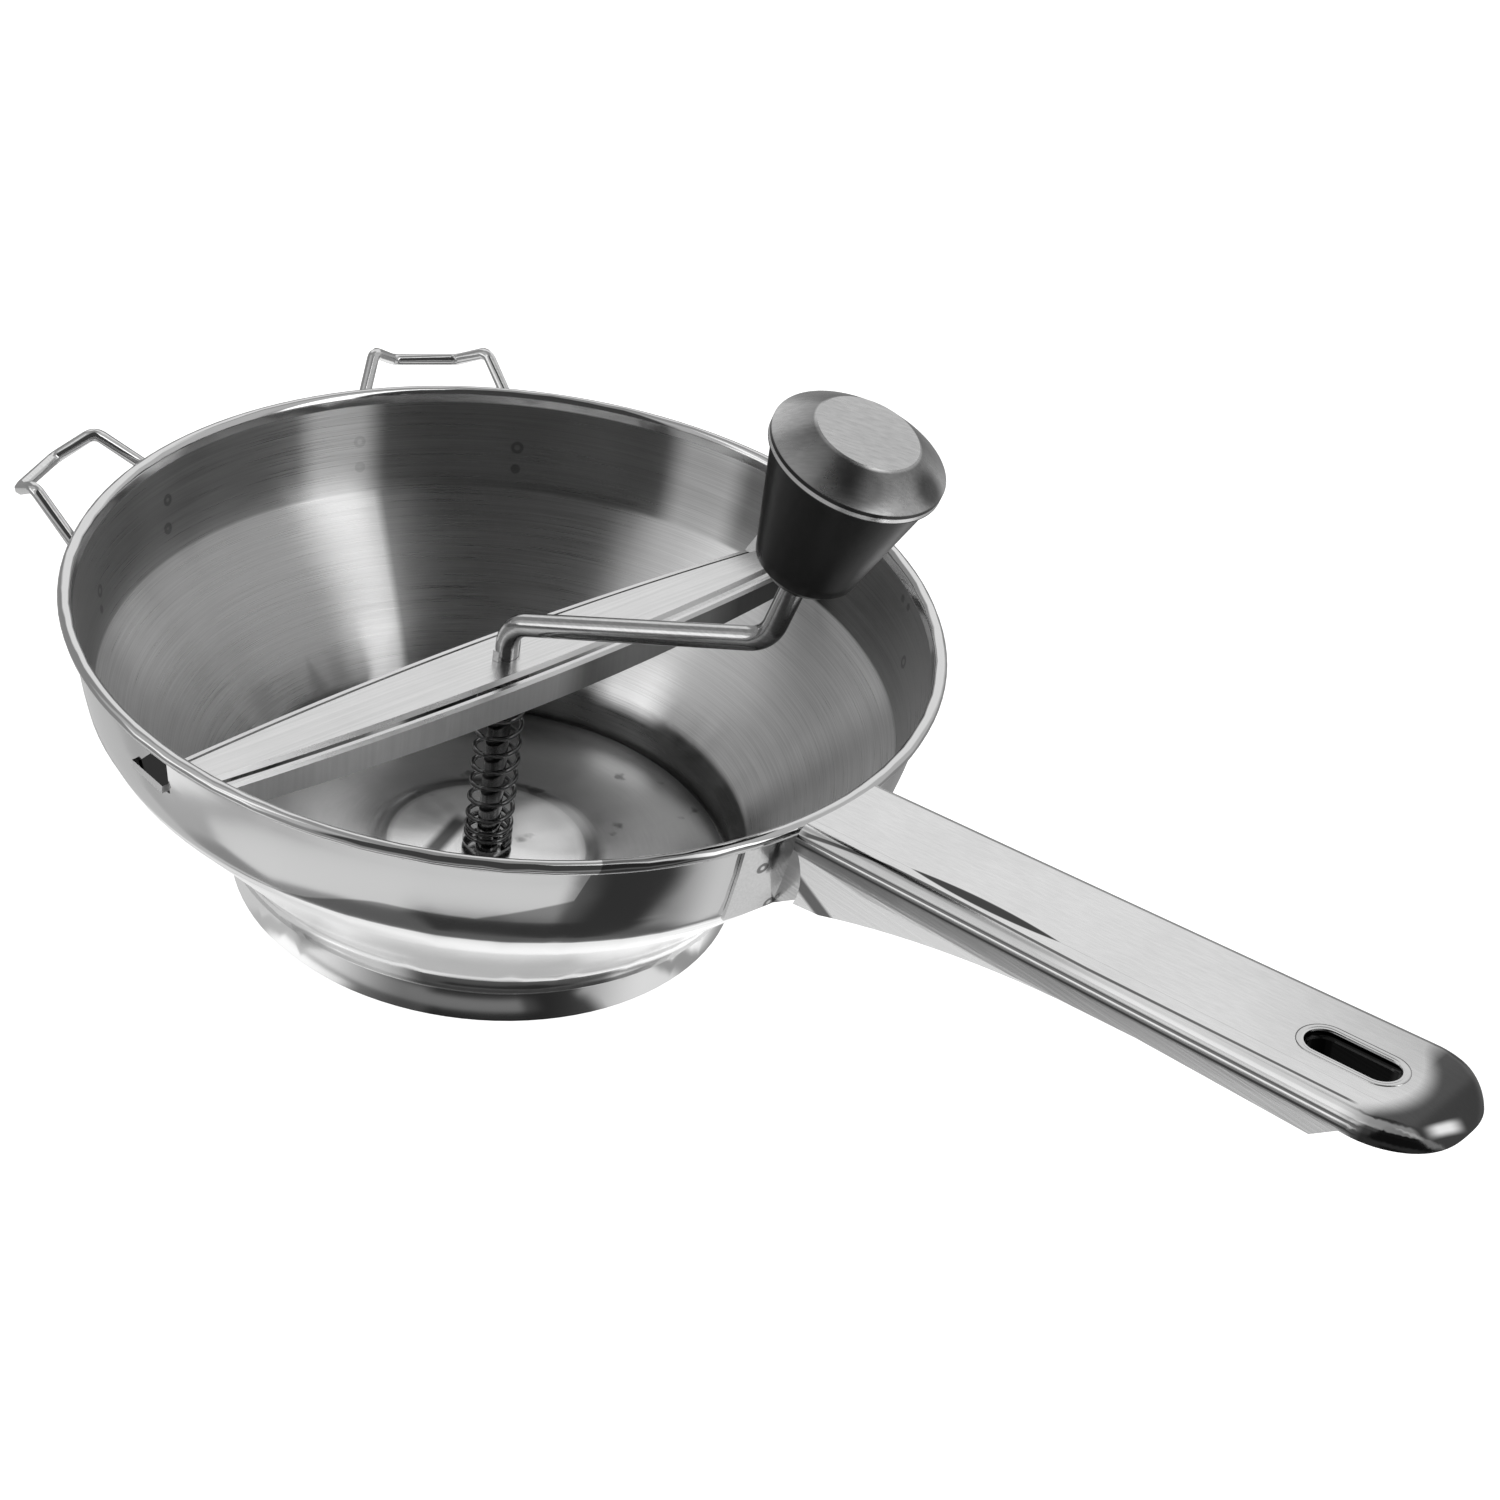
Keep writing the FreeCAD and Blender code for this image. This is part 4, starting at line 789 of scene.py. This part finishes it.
def handle_steel():
    """Polished top, painted light on the near shoulder and gusset, painted dark lines along the shoulder,
    painted shade on the wall, tip and in the hanging slot, and a painted highlight.
    """
    recipe = Recipe("handle_steel")
    x, y, z = recipe.split(recipe.position())
    _, ny, nz = recipe.split(recipe.normal())
    fine = recipe.straight_marks(0.0)
    clouds = recipe.clouds()
    near_side = recipe.under(y, *NEAR_SIDE)
    on_wall = recipe.spread(ny, *WALL_FACE, 1.0, 0.0)
    over_gusset = above_gusset(recipe, x, z)
    # Painted light: the near shoulder and the gusset lighter
    shoulder = recipe.times(near_side, recipe.between(nz, *BRIGHT_SHOULDER))
    gusset = recipe.times(recipe.rest(over_gusset), on_wall)
    tone = recipe.add(recipe.vary(fine, 0.0, 0.03), recipe.vary(clouds, 0.71, 0.03))
    tone = recipe.add(tone, recipe.times(shoulder, 0.25), recipe.times(gusset, 0.16))
    # Painted shade: on the wall, along the shoulder, in the wedge, on the dome, on the tip's far part and
    # in the slot
    wall = recipe.times(on_wall, recipe.spread(x, *WALL_SHADE), over_gusset)
    lines = recipe.most(shoulder_lines(recipe, x, y, nz, near_side), wall)
    wedge = shoulder_wedge(recipe, x, y)
    dome = tip_dome(recipe, x, y)
    slot = recipe.times(recipe.between(x, *SLOT_LENGTH), recipe.near(y, *SLOT_WIDTH))
    slot = recipe.times(slot, recipe.spread(under_top(recipe, x, z), *SLOT_DEPTH, 0.0, 1.0))
    far = recipe.spread(x, *FAR_SHADE_ALONG, 0.0, 1.0, smooth=True)
    far = recipe.times(far, recipe.spread(y, *FAR_SHADE_ASIDE, 0.0, 0.35))
    dark = recipe.most(recipe.times(lines, 0.82), recipe.times(wedge, 0.95), recipe.times(dome, 0.93))
    dark = recipe.most(dark, far, slot)
    # Painted highlight and bright line, given out by the surface
    recipe.glow(handle_light(recipe, x, nz, near_side), 0.75)
    return recipe.finish(recipe.dim(tone, dark, 0.01), recipe.vary(clouds, 0.165, 0.035), fine)


def slot_steel():
    """A bright edge, with painted shade as it turns down."""
    recipe = Recipe("slot_steel")
    x, _, z = recipe.split(recipe.position())
    clouds = recipe.clouds(90.0, 4.0)
    shade = recipe.spread(under_top(recipe, x, z), *ROLL_DEPTH, 1.0, 0.01)
    tone = recipe.times(recipe.vary(clouds, 0.62, 0.06), shade)
    return recipe.finish(tone, recipe.vary(clouds, 0.13, 0.03), clouds, 0.000004)


def dress(name, material):
    """Puts a material on a CAD node."""
    node = NODES[name]
    node.data.materials.clear()
    node.data.materials.append(material)


def smooth(name, angle):
    """Joins a node's faces where they meet at less than an angle, so that flats read as one curve."""
    node = NODES[name]
    weld = node.modifiers.new("weld", "WELD")
    weld.merge_threshold = 0.000002
    split = node.modifiers.new("split", "EDGE_SPLIT")
    split.split_angle = math.radians(angle)
    weighted = node.modifiers.new("normals", "WEIGHTED_NORMAL")
    weighted.mode = "FACE_AREA"
    weighted.weight = 50


# Pieces that stand for a plain solid or finish one


def made_piece(name, points, faces, material):
    mesh = bpy.data.meshes.new(name)
    mesh.from_pydata(points, [], faces)
    mesh.shade_smooth()
    mesh.materials.append(material)
    piece = bpy.data.objects.new(name, mesh)
    bpy.context.scene.collection.objects.link(piece)
    return piece


def tube(path, radius, sides):
    """Points and faces of a round bar along a path, closed at both ends."""
    points = []
    faces = []
    across = Vector((0, 0, 1))
    last = len(path) - 1
    for step, middle in enumerate(path):
        way = (path[min(step + 1, last)] - path[max(step - 1, 0)]).normalized()
        across = (across - way * across.dot(way)).normalized()
        aside = way.cross(across)
        for side in range(sides):
            turn = 2 * math.pi * side / sides
            points.append(middle + (across * math.cos(turn) + aside * math.sin(turn)) * radius)
    for step in range(last):
        for side in range(sides):
            after = (side + 1) % sides
            low, high = step * sides, (step + 1) * sides
            faces.append((low + side, low + after, high + after, high + side))
    faces.append(tuple(range(sides - 1, -1, -1)))
    faces.append(tuple(range(last * sides, (last + 1) * sides)))
    return points, faces


SPRING_LOW = 0.00671
SPRING_HIGH = 0.06254
SPRING_RADIUS = 0.0058
WIRE_RADIUS = 0.00066
WIRE_SIDES = 10
SPRING_TURNS = 13
CLOSED_TURNS = 2
CLOSED_PITCH = 0.0024
OPENING_TURNS = 0.5
TURN_STEPS = 28


def spring_path():
    """The wire's middle line, with a close pitch for the end turns and a wide one between them."""
    travel = SPRING_HIGH - SPRING_LOW
    wide_turns = SPRING_TURNS - 2 * CLOSED_TURNS - OPENING_TURNS
    wide_pitch = (travel - CLOSED_PITCH * (SPRING_TURNS - wide_turns)) / wide_turns
    heights = [0.0]
    for step in range(SPRING_TURNS * TURN_STEPS):
        turn = (step + 0.5) / TURN_STEPS
        from_end = min(turn, SPRING_TURNS - turn)
        share = min(1.0, max(0.0, (from_end - CLOSED_TURNS) / OPENING_TURNS))
        pitch = CLOSED_PITCH + (wide_pitch - CLOSED_PITCH) * share
        heights.append(heights[-1] + pitch / TURN_STEPS)
    path = []
    for step, height in enumerate(heights):
        turn = 2 * math.pi * step / TURN_STEPS
        rise = SPRING_LOW + height * travel / heights[-1]
        path.append(Vector((SPRING_RADIUS * math.cos(turn), SPRING_RADIUS * math.sin(turn), rise)))
    return path


def make_spring():
    """Round wire in place of the solid's square one, with the same turns."""
    points, faces = tube(spring_path(), WIRE_RADIUS, WIRE_SIDES)
    wire = drawn_steel("wire_steel", 0.17, 0.1, 0.0)
    piece = made_piece("spring_wire", points, faces, wire)
    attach(piece, "bowl_body")
    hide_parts("spring")
    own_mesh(piece)


ROLL_MIDDLE = Vector((0.2436, 0, 0.09946))
ROLL_SLOPE = math.radians(7.3)
ROLL_FLAT = 0.0067
ROLL_HALF = 0.0043
ROLL_STEPS = 18
# The roll's section, as distance out from the slot and height over the handle's top
ROLL_PROFILE = (
    (0.0016, 0.00002),
    (0.0012, 0.00008),
    (0.0008, 0.00008),
    (0.0004, 0.0),
    (0.0001, -0.00015),
    (-0.0001, -0.0005),
    (-0.0002, -0.0012),
    (-0.0002, -0.0024),
    (0.0001, -0.0024),
    (0.0006, -0.001),
    (0.0013, -0.0003),
)


def make_slot_roll(material):
    """The rounded edge that turns down into the hanging slot."""
    along = Vector((math.cos(ROLL_SLOPE), 0, math.sin(ROLL_SLOPE)))
    up = Vector((-along.z, 0, along.x))
    aside = Vector((0, 1, 0))
    points = []
    for centre, start in ((ROLL_FLAT, -90), (-ROLL_FLAT, 90)):
        for step in range(ROLL_STEPS + 1):
            turn = math.radians(start + 180 * step / ROLL_STEPS)
            for out, rise in ROLL_PROFILE:
                reach = ROLL_HALF + out
                forward = along * (centre + reach * math.cos(turn))
                points.append(ROLL_MIDDLE + forward + aside * (reach * math.sin(turn)) + up * rise)
    faces = []
    count = len(ROLL_PROFILE)
    rings = 2 * (ROLL_STEPS + 1)
    for ring in range(rings):
        low, high = ring * count, (ring + 1) % rings * count
        for corner in range(count):
            beside = (corner + 1) % count
            faces.append((low + corner, high + corner, high + beside, low + beside))
    piece = made_piece("slot_roll", points, faces, material)
    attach(piece, "bowl_body")


make_camera()
make_floor()
make_surroundings()
make_spring()
make_slot_roll(slot_steel())

rod = rod_steel()
FINISHES = {
    "bowl": bowl_steel(),
    "sieve_disc": disc_steel(),
    "blade": blade_steel(),
    "blade_collar": rod,
    "lower_spring_seat": rod,
    "spring": drawn_steel("spring_steel", 0.42, 0.2, 0.0),
    "bar": bar_steel(),
    "crank": rod,
    "handle": handle_steel(),
    "handle_bracket": bracket_steel(),
    "hook_left": drawn_steel("left_hook_steel", 0.7, 0.1, 26.0),
    "hook_right": drawn_steel("right_hook_steel", 0.7, 0.1, 57.5),
    "knob_grip": black_plastic(),
    "knob_cap": cap_steel(),
    "knob_retainer": rod,
}
USUAL_ANGLE = 32.0
WIDE_ANGLES = {"bowl": 50.0, "hook_left": 50.0, "hook_right": 50.0, "spring": 95.0, "knob_grip": 50.0}
for name, material in FINISHES.items():
    dress(name, material)
    smooth(name, WIDE_ANGLES.get(name, USUAL_ANGLE))
